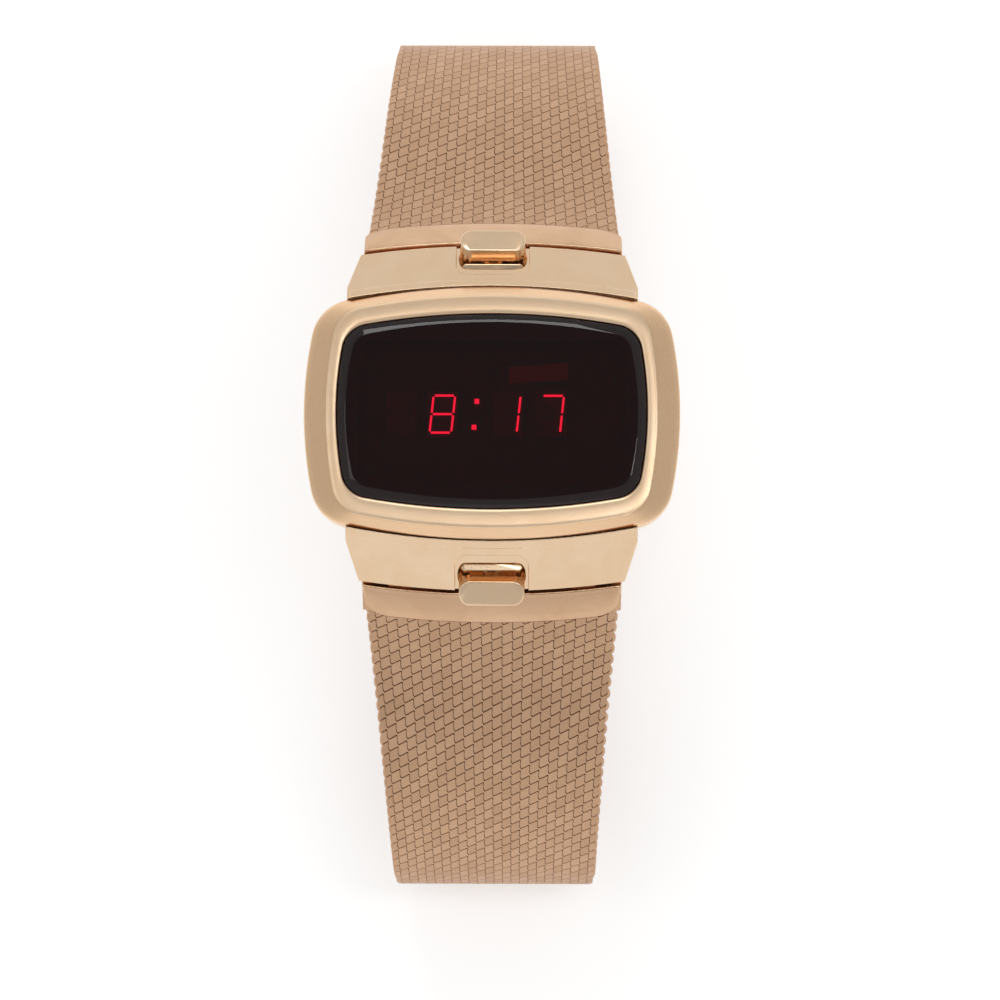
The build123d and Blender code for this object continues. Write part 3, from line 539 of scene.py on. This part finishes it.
def band_place(distance, side, across, rise):
    """Points of the band in the frame: across is a share of the half width, from -1 to 1."""
    out, up = band(distance, rise)
    return np.stack([across * half_width(distance), side * out, up], axis=-1)


# Woven mesh

COLUMNS = 24
LINE = 0.05
NOMINAL = 0.96
SIDE_GAP_SHARE = 0.42
SKEW = 0.47
ROW_MIDDLE = 0.69
COLUMN_SHIFT = 0.05
EDGE_LIMIT = 0.36
TILT = 0.004
# Inset, and drop below the face of the band, of the three outlines of a tile
TILE_INSETS = (LINE * 1.45, LINE * 0.75, LINE * 0.55)
TILE_DROPS = (0.0, 0.055, 0.26)
NEARLY_PARALLEL = 0.12

CUT_MARGIN = 0.01
LOOP_INSET = 0.80
LOOP_REACH = 0.50
LOOP_RISE = 0.86
LOOP_LEAN = 0.30
WIRE_ALONG = 0.47
WIRE_THICK = 0.30

CORE_STEP = 0.7
CORE_INSET = 0.62
CORE_DEPTH = 0.24

# Outline of one tile between two dark stair lines: x in columns, y in rows, and whether the edge
# that starts at the point is a neck that joins the next tile of the ribbon
TILE = (
    (0.13, 0.02, 0),
    (0.54, 0.185, 0),
    (0.93, 0.365, 0),
    (1.02, 0.36, 1),
    (1.115, 0.545, 0),
    (1.02, 0.66, 0),
    (0.985, 0.85, 0),
    (1.005, 1.16, 0),
    (0.99, 1.31, 0),
    (0.93, 1.365, 0),
    (0.54, 1.185, 0),
    (0.13, 1.02, 0),
    (0.115, 1.015, 1),
    (0.02, 0.83, 0),
    (0.005, 0.69, 0),
    (-0.015, 0.38, 0),
    (0.02, 0.19, 0),
)


def inset_outline(points, necks, amount):
    """Moves each edge of a counter-clockwise outline inwards; neck edges stay."""
    count = len(points)
    lines = []
    for i in range(count):
        a, b = points[i], points[(i + 1) % count]
        direction = (b - a) / np.linalg.norm(b - a)
        normal = np.array([-direction[1], direction[0]])
        share = SIDE_GAP_SHARE if abs(direction[1]) > abs(direction[0]) else 1.0
        lines.append((a + normal * (0 if necks[i] else amount * share), direction))
    moved = []
    for i in range(count):
        (p, u), (q, v) = lines[i - 1], lines[i]
        cross = u[0] * v[1] - u[1] * v[0]
        if abs(cross) < NEARLY_PARALLEL:
            moved.append((q + p + u * np.dot(points[i] - p, u) + v * np.dot(points[i] - q, v)) / 2)
        else:
            t = ((q[0] - p[0]) * v[1] - (q[1] - p[1]) * v[0]) / cross
            moved.append(p + u * t)
    return np.array(moved)


def tile_rings(amounts):
    """Outlines of a tile inset by each amount, in columns and rows."""
    scale = np.array([NOMINAL, ROW])
    points = np.array([(x, y) for x, y, neck in TILE]) * scale
    necks = [neck for x, y, neck in TILE]
    return [inset_outline(points, necks, amount) / scale for amount in amounts]


def tile_cells(side, low, high):
    """Column, row and distance along the band of each tile between two distances."""
    start = low if side > 0 else -high
    rows = int((high - low) / ROW) + 5
    cells = []
    for column in range(COLUMNS):
        first = int(np.floor(start / ROW + SKEW * column)) - 2
        for row in range(first, first + rows):
            cells.append((column, row, side * (row + ROW_MIDDLE - SKEW * column) * ROW))
    return np.array([cell for cell in cells if low <= cell[2] < high])


def tile_faces(necks, flip):
    """Faces of one tile: its top, and the walls round it except at the necks."""
    count = len(necks)
    faces = [tuple(range(count))]
    for level in range(2):
        for i in range(count):
            if not necks[i]:
                j = (i + 1) % count
                upper, lower = level * count, (level + 1) * count
                faces.append((upper + i, lower + i, lower + j, upper + j))
    return [face[::-1] if flip else face for face in faces]


def woven_piece(builder, side, low, high, seed):
    """Tiles on both faces, edge loops and core of one stretch of a band half."""
    random = np.random.default_rng(seed)
    necks = [neck for x, y, neck in TILE]
    length = UPPER_LENGTH if side > 0 else LOWER_LENGTH
    rings = tile_rings(TILE_INSETS)
    cells = tile_cells(side, low, high)
    total = len(cells)
    size = len(rings) * len(TILE)
    for face in (1, -1):
        vertices = []
        for ring, drop in zip(rings, TILE_DROPS):
            x = cells[:, 0:1] + ring[None, :, 0]
            y = cells[:, 1:2] - SKEW * cells[:, 0:1] + ring[None, :, 1]
            margin = EDGE_LIMIT / COLUMNS
            across = np.clip((x - COLUMN_SHIFT) / COLUMNS, margin, 1 - margin) * 2 - 1
            distance = np.clip(side * y * ROW, BAND_START, length)
            tilt = random.normal(0, TILT, (total, 1))
            rise = face * (HALF - drop) + tilt * (ring[None, :, 0] - 0.5)
            vertices.append(band_place(distance, side, across * face, rise))
        stacked = np.concatenate([v[:, None] for v in vertices], axis=1)
        template = tile_faces(necks, face > 0)
        faces = [[number * size + v for v in each] for number in range(total) for each in template]
        tone = np.repeat(random.random(total), size)
        builder.add(stacked.reshape(-1, 3), faces, 0, False, tone)
    edge_loops(builder, side, low, high, random)
    core_strip(builder, side, low, high)


def edge_loops(builder, side, low, high, random):
    """Wire loops that turn from the outer to the inner face at both sides of the band."""
    first = int(np.ceil(low / ROW))
    last = int(np.floor((high - CUT_MARGIN) / ROW))
    turns = np.linspace(-pi / 2, pi / 2, 9)
    around = np.linspace(0, 2 * pi, 10, endpoint=False)
    tube = tube_faces(len(turns), len(around))
    for edge in (-1, 1):
        faces = tube if side * edge > 0 else [face[::-1] for face in tube]
        for row in range(first, last + 1):
            centre = row * ROW
            base_x = half_width(centre) - LOOP_INSET
            rings = []
            for turn in turns:
                radial = np.array([cos(turn), sin(turn)])
                shift = side * edge * LOOP_LEAN * turn / (pi / 2)
                ring = []
                for angle in around:
                    along = WIRE_ALONG * cos(angle)
                    thick = WIRE_THICK * sin(angle)
                    x = base_x + (LOOP_REACH + thick) * radial[0]
                    rise = (LOOP_RISE + thick) * radial[1]
                    distance = centre + shift + along
                    ring.append(band_place(distance, side, edge * x / half_width(distance), rise))
                rings.append(ring)
            builder.add(np.array(rings).reshape(-1, 3), faces, 0, True, random.random())


def core_strip(builder, side, low, high):
    """Dark strip under the tiles, which closes the gaps between them; its dark colour is painted
    shade in the gaps.
    """
    steps = max(2, int(round((high - low) / CORE_STEP)) + 1)
    distances = np.linspace(max(low, BAND_START), high, steps)
    sections = []
    for distance in distances:
        wide = half_width(distance)
        share = (wide - CORE_INSET) / wide
        low_rise, high_rise = -HALF + CORE_DEPTH, HALF - CORE_DEPTH
        corners = ((-share, low_rise), (share, low_rise), (share, high_rise), (-share, high_rise))
        sections.append([band_place(distance, side, across, rise) for across, rise in corners])
    faces = tube_faces(steps, 4)
    faces.append((3, 2, 1, 0))
    faces.append(tuple((steps - 1) * 4 + j for j in range(4)))
    if side > 0:
        faces = [face[::-1] for face in faces]
    builder.add(np.array(sections).reshape(-1, 3), faces, 1, False, 0.5)


def make_band():
    """Four woven pieces for each half, cut apart along the band, each in place of its CAD mesh nodes.
    """
    chains = {"upper": (1, "upper_band_5", UPPER_LENGTH), "lower": (-1, "clasp", LOWER_LENGTH)}
    for name, (side, last_body, length) in chains.items():
        limits = (BAND_START, *CUTS, length)
        for number in range(4):
            builder = Builder()
            woven_piece(builder, side, limits[number], limits[number + 1], 10 * number + (side > 0))
            piece = builder.done(f"{name}_woven_{number + 1}", [gold_mesh, gold_mesh_core_painted_shade])
            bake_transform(piece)
            nodes = [f"{name}_mesh_{number + 1}"]
            if number == 3:
                nodes.append(f"{name}_mesh_5")
            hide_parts(*nodes)


make_band()

# Bezel and crystal


SMALLEST_CORNER = 0.3
# Points on the end, the corner and the side of one quarter
QUARTER_POINTS = (14, 14, 18)


def bowed_points(width, length, side_bow, end_bow, corner, inset):
    """Bowed rectangle with round corners, as matching points, clockwise from 12 o'clock."""
    a, b = width / 2 - inset, length / 2 - inset
    r = max(corner - inset, SMALLEST_CORNER)
    cx, cy = a - side_bow, b - end_bow
    side_radius = (side_bow**2 + cy**2) / (2 * side_bow)
    end_radius = (end_bow**2 + cx**2) / (2 * end_bow)
    side_centre = np.array([a - side_radius, 0.0])
    end_centre = np.array([0.0, b - end_radius])
    d1, d2 = side_radius - r, end_radius - r
    gap = end_centre - side_centre
    d = np.linalg.norm(gap)
    along = (d1**2 - d2**2 + d**2) / (2 * d)
    off = sqrt(max(d1**2 - along**2, 0))
    unit = gap / d
    centre = side_centre + unit * along + np.array([unit[1], -unit[0]]) * off
    if centre[0] < 0 or centre[1] < 0:
        centre = side_centre + unit * along - np.array([unit[1], -unit[0]]) * off
    end_angle = np.arctan2(*(centre - end_centre)[::-1])
    side_angle = np.arctan2(*(centre - side_centre)[::-1])
    n_end, n_corner, n_side = QUARTER_POINTS
    quarter = []
    for angle in np.linspace(pi / 2, end_angle, n_end, endpoint=False):
        quarter.append(end_centre + end_radius * np.array([cos(angle), sin(angle)]))
    for angle in np.linspace(end_angle, side_angle, n_corner, endpoint=False):
        quarter.append(centre + r * np.array([cos(angle), sin(angle)]))
    for angle in np.linspace(side_angle, 0, n_side, endpoint=False):
        quarter.append(side_centre + side_radius * np.array([cos(angle), sin(angle)]))
    quarter.append(np.array([a, 0.0]))
    quarter = np.array(quarter)
    upper_right = quarter
    lower_right = quarter[::-1][1:] * (1, -1)
    lower_left = quarter[1:] * (-1, -1)
    upper_left = quarter[::-1][1:-1] * (-1, 1)
    return np.concatenate([upper_right, lower_right, lower_left, upper_left])


CASE = (38.2, 25.9, 1.5, 2.0, 4.5)
RING = (33.3, 23.7, 1.2, 1.7, 3.4)
GLASS = (31.3, 19.8, 1.0, 1.5, 2.8)
CRYSTAL_TOP = 51.406
BEZEL_TOP = 51.156
CHAMFER_FOOT = 49.656
BEZEL_SEAT = 48.056
CHAMFER_RISE = 1.5
CHAMFER_SHARES = (0.25, 0.5, 0.75, 0.93)
GLASS_DEPTH = 1.9
LEDGE_DEPTH = 1.95
LEDGE_WIDTH = 1.1
GLASS_CLEARANCE = 0.10
BEZEL_FLOOR_WIDTH = 1.6
BEZEL_SMOOTH_ANGLE = 34
CRYSTAL_SMOOTH_ANGLE = 14
# Inset and drop below the top of the crystal's outlines, from its foot to its flat face
CRYSTAL_PROFILE = ((0, GLASS_DEPTH), (0, 0.45), (0.06, 0.40), (0.74, 0.03), (0.84, 0))


def between(first, second, share):
    return first * (1 - share) + second * share


def ring_surface(rings, closed=False):
    """Vertices and faces of stacked closed rings, first ring outside or below."""
    n = len(rings[0])
    faces = []
    levels = len(rings)
    for i in range(levels if closed else levels - 1):
        low, high = i * n, ((i + 1) % levels) * n
        for j in range(n):
            k = (j + 1) % n
            faces.append((low + k, low + j, high + j, high + k))
    return np.concatenate(rings), faces


def at(points, height):
    """Flat points at one height."""
    height = np.broadcast_to(height, len(points))
    return np.column_stack([points, height])


# Height of the ring above the bezel's top by share of its width, from the chamfer to the crystal
RING_RISE = (
    (0.0, -0.05), (0.07, -0.015), (0.17, 0.0), (0.35, 0.012), (0.55, 0.015),
    (0.74, 0.008), (0.87, -0.018), (0.95, -0.07), (1.0, -0.17),
)


def make_bezel():
    """Bezel swept round: skirt, brushed chamfer, satin ring, and a black seat for the crystal."""
    case = bowed_points(*CASE, 0)
    ring = bowed_points(*RING, 0)
    glass = bowed_points(*GLASS, -GLASS_CLEARANCE)
    ledge = bowed_points(*GLASS, LEDGE_WIDTH)
    profile = [
        (bowed_points(*CASE, BEZEL_FLOOR_WIDTH), BEZEL_SEAT, 0),
        (bowed_points(*CASE, 0.06), BEZEL_SEAT, 0),
        (case, BEZEL_SEAT + 0.06, 0),
        (case, CHAMFER_FOOT - 0.10, 0),
        (bowed_points(*CASE, 0.03), CHAMFER_FOOT - 0.02, 0),
        (between(case, ring, 0.045), CHAMFER_FOOT + 0.05, 1),
    ]
    for share in CHAMFER_SHARES:
        profile.append((between(case, ring, share), CHAMFER_FOOT + CHAMFER_RISE * share, 1))
    profile.append((between(case, ring, 0.975), CHAMFER_FOOT + CHAMFER_RISE * 0.965, 0))
    for share, height in RING_RISE:
        profile.append((between(ring, glass, share), BEZEL_TOP + height, 0))
    profile.append((glass, BEZEL_TOP - 0.42, 2))
    profile.append((glass, CRYSTAL_TOP - GLASS_DEPTH, 2))
    profile.append((ledge, CRYSTAL_TOP - LEDGE_DEPTH, 2))
    profile.append((ledge, BEZEL_SEAT, 0))
    rings = [at(points, height) for points, height, finish in profile]
    vertices, faces = ring_surface(rings, closed=True)
    n = len(rings[0])
    finishes = [finish for points, height, finish in profile]
    indices = []
    for first, second in zip(finishes, finishes[1:] + finishes[:1]):
        indices.extend([min(first, second)] * n)
    steps = np.linalg.norm(np.diff(np.vstack([case, case[:1]]), axis=0), axis=1)
    along = np.concatenate([[0], np.cumsum(steps)[:-1]])
    sweep_along = np.tile(along, len(rings))
    sweep_across = np.repeat([height for points, height, finish in profile], n)
    bezel = make_object(
        "bezel_shell",
        vertices,
        faces,
        [gold_ring, gold_chamfer, black_rubber],
        indices,
        floats={"sweep_along": sweep_along, "sweep_across": sweep_across},
    )
    smooth_by_angle(bezel, BEZEL_SMOOTH_ANGLE)
    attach(bezel, "case")
    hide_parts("bezel")


def make_crystal():
    """Flat glass with a bevelled edge."""
    rings = [at(bowed_points(*GLASS, inset), CRYSTAL_TOP - drop) for inset, drop in CRYSTAL_PROFILE]
    vertices, faces = ring_surface(rings)
    n = len(rings[0])
    faces.append(tuple(range(n)))
    faces.append(tuple(len(rings) * n - 1 - i for i in range(n)))
    crystal = make_object("crystal_glass", vertices, faces, [red_crystal])
    smooth_by_angle(crystal, CRYSTAL_SMOOTH_ANGLE)
    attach(crystal, "case")
    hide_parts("crystal")


make_bezel()
make_crystal()

# Pushers


def rounded_hull(name, corners, radius, material):
    """Convex body with edges rounded by a radius; its corners are the centres of the rounding."""
    ball = bmesh.new()
    bmesh.ops.create_icosphere(ball, subdivisions=3, radius=radius)
    sphere = [vertex.co.copy() for vertex in ball.verts]
    ball.free()
    body = bmesh.new()
    for corner in corners:
        for point in sphere:
            body.verts.new((Vector(corner) + point) * MM)
    hull = bmesh.ops.convex_hull(body, input=body.verts)
    inside = hull["geom_interior"] + hull["geom_unused"]
    loose = {item for item in inside if isinstance(item, bmesh.types.BMVert)}
    bmesh.ops.delete(body, geom=list(loose), context="VERTS")
    bmesh.ops.recalc_face_normals(body, faces=body.faces)
    mesh = bpy.data.meshes.new(name)
    body.to_mesh(mesh)
    body.free()
    mesh.materials.append(material)
    mesh.polygons.foreach_set("use_smooth", np.ones(len(mesh.polygons), bool))
    made = bpy.data.objects.new(name, mesh)
    bpy.context.collection.objects.link(made)
    modifier = made.modifiers.new("flat_faces", "WEIGHTED_NORMAL")
    modifier.weight = 100
    return made


PUSHER_CENTRE = 46.602
PUSHER_HALF_WIDTH = 3.35
PUSHER_CORNER = 1.15
PUSHER_ROUNDING = 0.2
# Reach and height above the pusher's centre, at both ends of its slanted face, its foot and its neck
PUSHER_FACE = ((16.85, 0.76), (19.3, -0.35))
PUSHER_FOOT = ((15.1, -0.75), (19.3, -0.75))
PUSHER_NECK = ((14.3, -0.70), (15.8, -0.70))
NECK_HEIGHT = 0.4
NECK_ROUNDING = 0.15
NECK_CORNER = 0.3
STEM_RADIUS = 0.54
STEM_START = 9.7
STEM_END = 14.4
# A face of the head is inner wall where its normal leans inwards and doesn't point down; these faces
# are painted with the orange reflection of the case
WALL_LEAN = 0.3
WALL_LOWEST = -0.2


def rounded_outline(ends, half_across, corner, side):
    """Points of a rounded rectangle between two ends, each given by its reach and its height."""
    (near, near_high), (far, far_high) = ends
    middle, half_along = (near + far) / 2, (far - near) / 2
    points = []
    for across_sign, along_sign in ((1, 1), (-1, 1), (-1, -1), (1, -1)):
        for angle in np.linspace(0, pi / 2, 6):
            x = across_sign * (half_across - corner + corner * cos(angle))
            reach = middle + along_sign * (half_along - corner + corner * sin(angle))
            height = np.interp(reach, (near, far), (near_high, far_high))
            points.append((x, side * reach, PUSHER_CENTRE + height))
    return points


def inset_ends(ends, amount, drop):
    """Ends of an outline moved inwards and down, to make room for the rounding."""
    (near, near_high), (far, far_high) = ends
    return (near + amount, near_high - drop), (far - amount, far_high - drop)


def make_buttons():
    """Pusher heads with a slanted face and an inner wall, on flat necks and round stems."""
    soft = PUSHER_ROUNDING
    wide, corner = PUSHER_HALF_WIDTH - soft, PUSHER_CORNER - soft
    centre_radius = STEM_RADIUS / 2
    for half, side in (("upper", 1), ("lower", -1)):
        outlines = rounded_outline(inset_ends(PUSHER_FACE, soft, soft), wide, corner, side)
        outlines += rounded_outline(inset_ends(PUSHER_FOOT, soft, -soft), wide, corner, side)
        head = rounded_hull(half + "_pusher_head", outlines, soft, gold_button)
        head.data.materials.append(gold_button_painted_reflection)
        # Faces towards the case get the painted reflection colour
        for face in head.data.polygons:
            leans_in = side * face.normal.y < -WALL_LEAN
            face.material_index = int(leans_in and face.normal.z > WALL_LOWEST)
        neck_ends = inset_ends(PUSHER_NECK, NECK_ROUNDING, -NECK_ROUNDING)
        neck_points = rounded_outline(neck_ends, wide - NECK_ROUNDING, NECK_CORNER, side)
        neck_points += [(x, y, z + NECK_HEIGHT) for x, y, z in neck_points]
        neck = rounded_hull(half + "_pusher_neck", neck_points, NECK_ROUNDING, gold_button)
        stem_points = []
        for angle in np.linspace(0, 2 * pi, 12, endpoint=False):
            x, z = centre_radius * cos(angle), PUSHER_CENTRE + centre_radius * sin(angle)
            stem_points += [(x, side * (STEM_START + centre_radius), z), (x, side * STEM_END, z)]
        stem = rounded_hull(half + "_pusher_stem", stem_points, centre_radius, gold_button)
        for piece in (head, neck, stem):
            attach(piece, half + "_button")
            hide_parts(half + "_button")


# Covers of the end links

HINGE_HEIGHT = 44.121
HINGE_DEPTH = 2.1
CROWN_RADIUS = 200.0
JOINT_RADIUS = 102.0
LINK_COVER_LENGTH = 4.1
LINK_COVER_HALF_WIDTH = 13.2
COVER_LIFT = 0.07
COVER_OVERLAP = 0.02
COVER_CORNER = 3.0
COVER_CORNER_DEPTH = 2.1
COVER_RIM = 0.16
COVER_SIDE_RIM = 0.45
COVER_FAR_RIM = 0.5
COVER_FAR_DROP = 0.06
COVER_NEAR_FOOT = 0.9
COVER_FAR_FOOT = 1.05
COVER_MIDDLE_START = 0.9
COVER_MIDDLE_END = 1.4
COVER_SWELL = 0.02
COVER_SMOOTH_ANGLE = 40


def link_point(side, across, along, rise):
    """Point over an end link: along its slope from the hinge axis and above that slope."""
    out = HINGE_REACH + along * cos(LINK_SLOPE) + rise * sin(LINK_SLOPE)
    up = HINGE_HEIGHT - along * sin(LINK_SLOPE) + rise * cos(LINK_SLOPE)
    return across, side * out, up


def cover_profile(x):
    """Section of a link's cover at a place across it, as distances along the slope and above it."""
    sag = JOINT_RADIUS - sqrt(JOINT_RADIUS**2 - x**2)
    crown = CROWN_RADIUS - sqrt(CROWN_RADIUS**2 - x**2)
    past = max(0.0, abs(x) - (LINK_COVER_HALF_WIDTH - COVER_CORNER))
    cut = COVER_CORNER_DEPTH * (1 - sqrt(max(1 - (past / COVER_CORNER) ** 2, 0.0)))
    rim = COVER_SIDE_RIM
    left = min(rim, LINK_COVER_HALF_WIDTH - abs(x))
    top = HINGE_DEPTH + COVER_LIFT - crown - rim + sqrt(rim**2 - (rim - left) ** 2)
    start = -COVER_OVERLAP - sag
    end = LINK_COVER_LENGTH - sag - cut
    turn = np.linspace(0, pi / 2, 5)
    near = [(start + COVER_RIM * (1 - sin(a)), top - COVER_RIM * (1 - cos(a))) for a in turn[::-1]]
    far_top = top - COVER_FAR_DROP
    far = [(end - COVER_FAR_RIM * (1 - sin(a)), far_top - COVER_FAR_RIM * (1 - cos(a))) for a in turn]
    middle = [(start + COVER_MIDDLE_START, top + COVER_SWELL), (end - COVER_MIDDLE_END, top)]
    return [(start, COVER_NEAR_FOOT), *near, *middle, *far, (end, COVER_FAR_FOOT)]


def make_link_covers():
    """Polished plate over each end link: bowed edges, rounded outer corners and soft rims."""
    straight = LINK_COVER_HALF_WIDTH - COVER_CORNER
    bend = straight + COVER_CORNER * np.sin(np.linspace(0, pi / 2, 21)[1:])
    stations = np.concatenate([-bend[::-1], np.linspace(-1, 1, 41) * straight, bend])
    for half, side in (("upper", 1), ("lower", -1)):
        vertices = []
        for x in stations:
            vertices += [link_point(side, x, along, rise) for along, rise in cover_profile(x)]
        size = len(vertices) // len(stations)
        faces = tube_faces(len(stations), size)
        faces.append(tuple(range(size))[::-1])
        faces.append(tuple((len(stations) - 1) * size + j for j in range(size)))
        if side < 0:
            faces = [face[::-1] for face in faces]
        cover = make_object(half + "_link_cover", vertices, faces, [gold_link])
        smooth_by_angle(cover, COVER_SMOOTH_ANGLE)
        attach(cover, half + "_link")


make_buttons()
make_link_covers()

# Nodes that keep their CAD shape


def dress_nodes():
    """Gives each CAD node the detailed material of the slot that its own material is named after."""
    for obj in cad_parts.values():
        for each in obj.material_slots:
            each.material = slot_materials[each.material.name]


dress_nodes()

# Floor, world and lamps

FLOOR_HALF_SIZE = 3.0
FLOOR_GREY = 0.82
FLOOR_GLOW = 0.46
# Brightness of the studio by the sine of the height above the horizon
SKY = (
    (0.0, 0.86), (0.12, 0.78), (0.26, 0.66), (0.45, 0.57),
    (0.8, 0.52), (0.95, 0.42), (0.985, 0.20), (1.0, 0.17),
)


def make_floor():
    """Pale floor that is white to the camera, to gloss and through glass, and keeps the shadow."""
    size = FLOOR_HALF_SIZE
    mesh = bpy.data.meshes.new("floor")
    corners = [(-size, -size, 0), (size, -size, 0), (size, size, 0), (-size, size, 0)]
    mesh.from_pydata(corners, [], [(0, 1, 2, 3)])
    floor = bpy.data.objects.new("floor", mesh)
    bpy.context.collection.objects.link(floor)
    material = bpy.data.materials.new("floor_white")
    material.use_nodes = True
    tree = material.node_tree
    tree.nodes.clear()
    output = tree.nodes.new("ShaderNodeOutputMaterial")
    diffuse = tree.nodes.new("ShaderNodeBsdfDiffuse")
    diffuse.inputs["Color"].default_value = (FLOOR_GREY, FLOOR_GREY, FLOOR_GREY, 1)
    glow = tree.nodes.new("ShaderNodeEmission")
    glow.inputs["Color"].default_value = (1, 1, 1, 1)
    paths = tree.nodes.new("ShaderNodeLightPath")
    seen = tree.nodes.new("ShaderNodeMath")
    seen.operation = "MAXIMUM"
    tree.links.new(paths.outputs["Is Camera Ray"], seen.inputs[0])
    tree.links.new(paths.outputs["Is Glossy Ray"], seen.inputs[1])
    both = tree.nodes.new("ShaderNodeMath")
    both.operation = "MAXIMUM"
    tree.links.new(seen.outputs[0], both.inputs[0])
    tree.links.new(paths.outputs["Is Transmission Ray"], both.inputs[1])
    level = tree.nodes.new("ShaderNodeMath")
    level.operation = "MULTIPLY"
    level.inputs[1].default_value = FLOOR_GLOW
    tree.links.new(both.outputs[0], level.inputs[0])
    tree.links.new(level.outputs[0], glow.inputs["Strength"])
    add = tree.nodes.new("ShaderNodeAddShader")
    tree.links.new(diffuse.outputs[0], add.inputs[0])
    tree.links.new(glow.outputs[0], add.inputs[1])
    tree.links.new(add.outputs[0], output.inputs["Surface"])
    mesh.materials.append(material)


def make_world():
    """Plain studio light that falls off towards the zenith, where the crystal looks."""
    world = bpy.data.worlds.new("studio")
    bpy.context.scene.world = world
    world.use_nodes = True
    tree = world.node_tree
    tree.nodes.clear()
    output = tree.nodes.new("ShaderNodeOutputWorld")
    background = tree.nodes.new("ShaderNodeBackground")
    coordinates = tree.nodes.new("ShaderNodeTexCoord")
    parts = tree.nodes.new("ShaderNodeSeparateXYZ")
    ramp = tree.nodes.new("ShaderNodeValToRGB")
    while len(ramp.color_ramp.elements) < len(SKY):
        ramp.color_ramp.elements.new(0.5)
    for element, (place, level) in zip(ramp.color_ramp.elements, SKY):
        element.position = place
        element.color = (level, level, level, 1)
    tree.links.new(coordinates.outputs["Generated"], parts.inputs[0])
    tree.links.new(parts.outputs["Z"], ramp.inputs["Fac"])
    tree.links.new(ramp.outputs["Color"], background.inputs["Color"])
    background.inputs["Strength"].default_value = 1.0
    tree.links.new(background.outputs[0], output.inputs["Surface"])


LAMP_TARGET = (0, 0, 0.03)


def lamp(name, place, size, power):
    """Rectangular area lamp that faces the watch."""
    data = bpy.data.lights.new(name, "AREA")
    data.shape = "RECTANGLE"
    data.size, data.size_y = size
    data.energy = power
    made = bpy.data.objects.new(name, data)
    made.location = place
    direction = Vector(LAMP_TARGET) - Vector(place)
    made.rotation_euler = direction.to_track_quat("-Z", "Y").to_euler()
    bpy.context.collection.objects.link(made)


make_floor()
make_world()
lamp("key", (-0.06, 0.56, 0.56), (0.3, 0.3), 0.9)
lamp("front", (0.0, -0.66, 0.32), (0.8, 0.34), 0.24)
lamp("left", (-0.34, -0.02, 0.70), (0.3, 0.5), 0.34)
lamp("right", (0.23, 0.0, 0.74), (0.12, 0.5), 0.7)
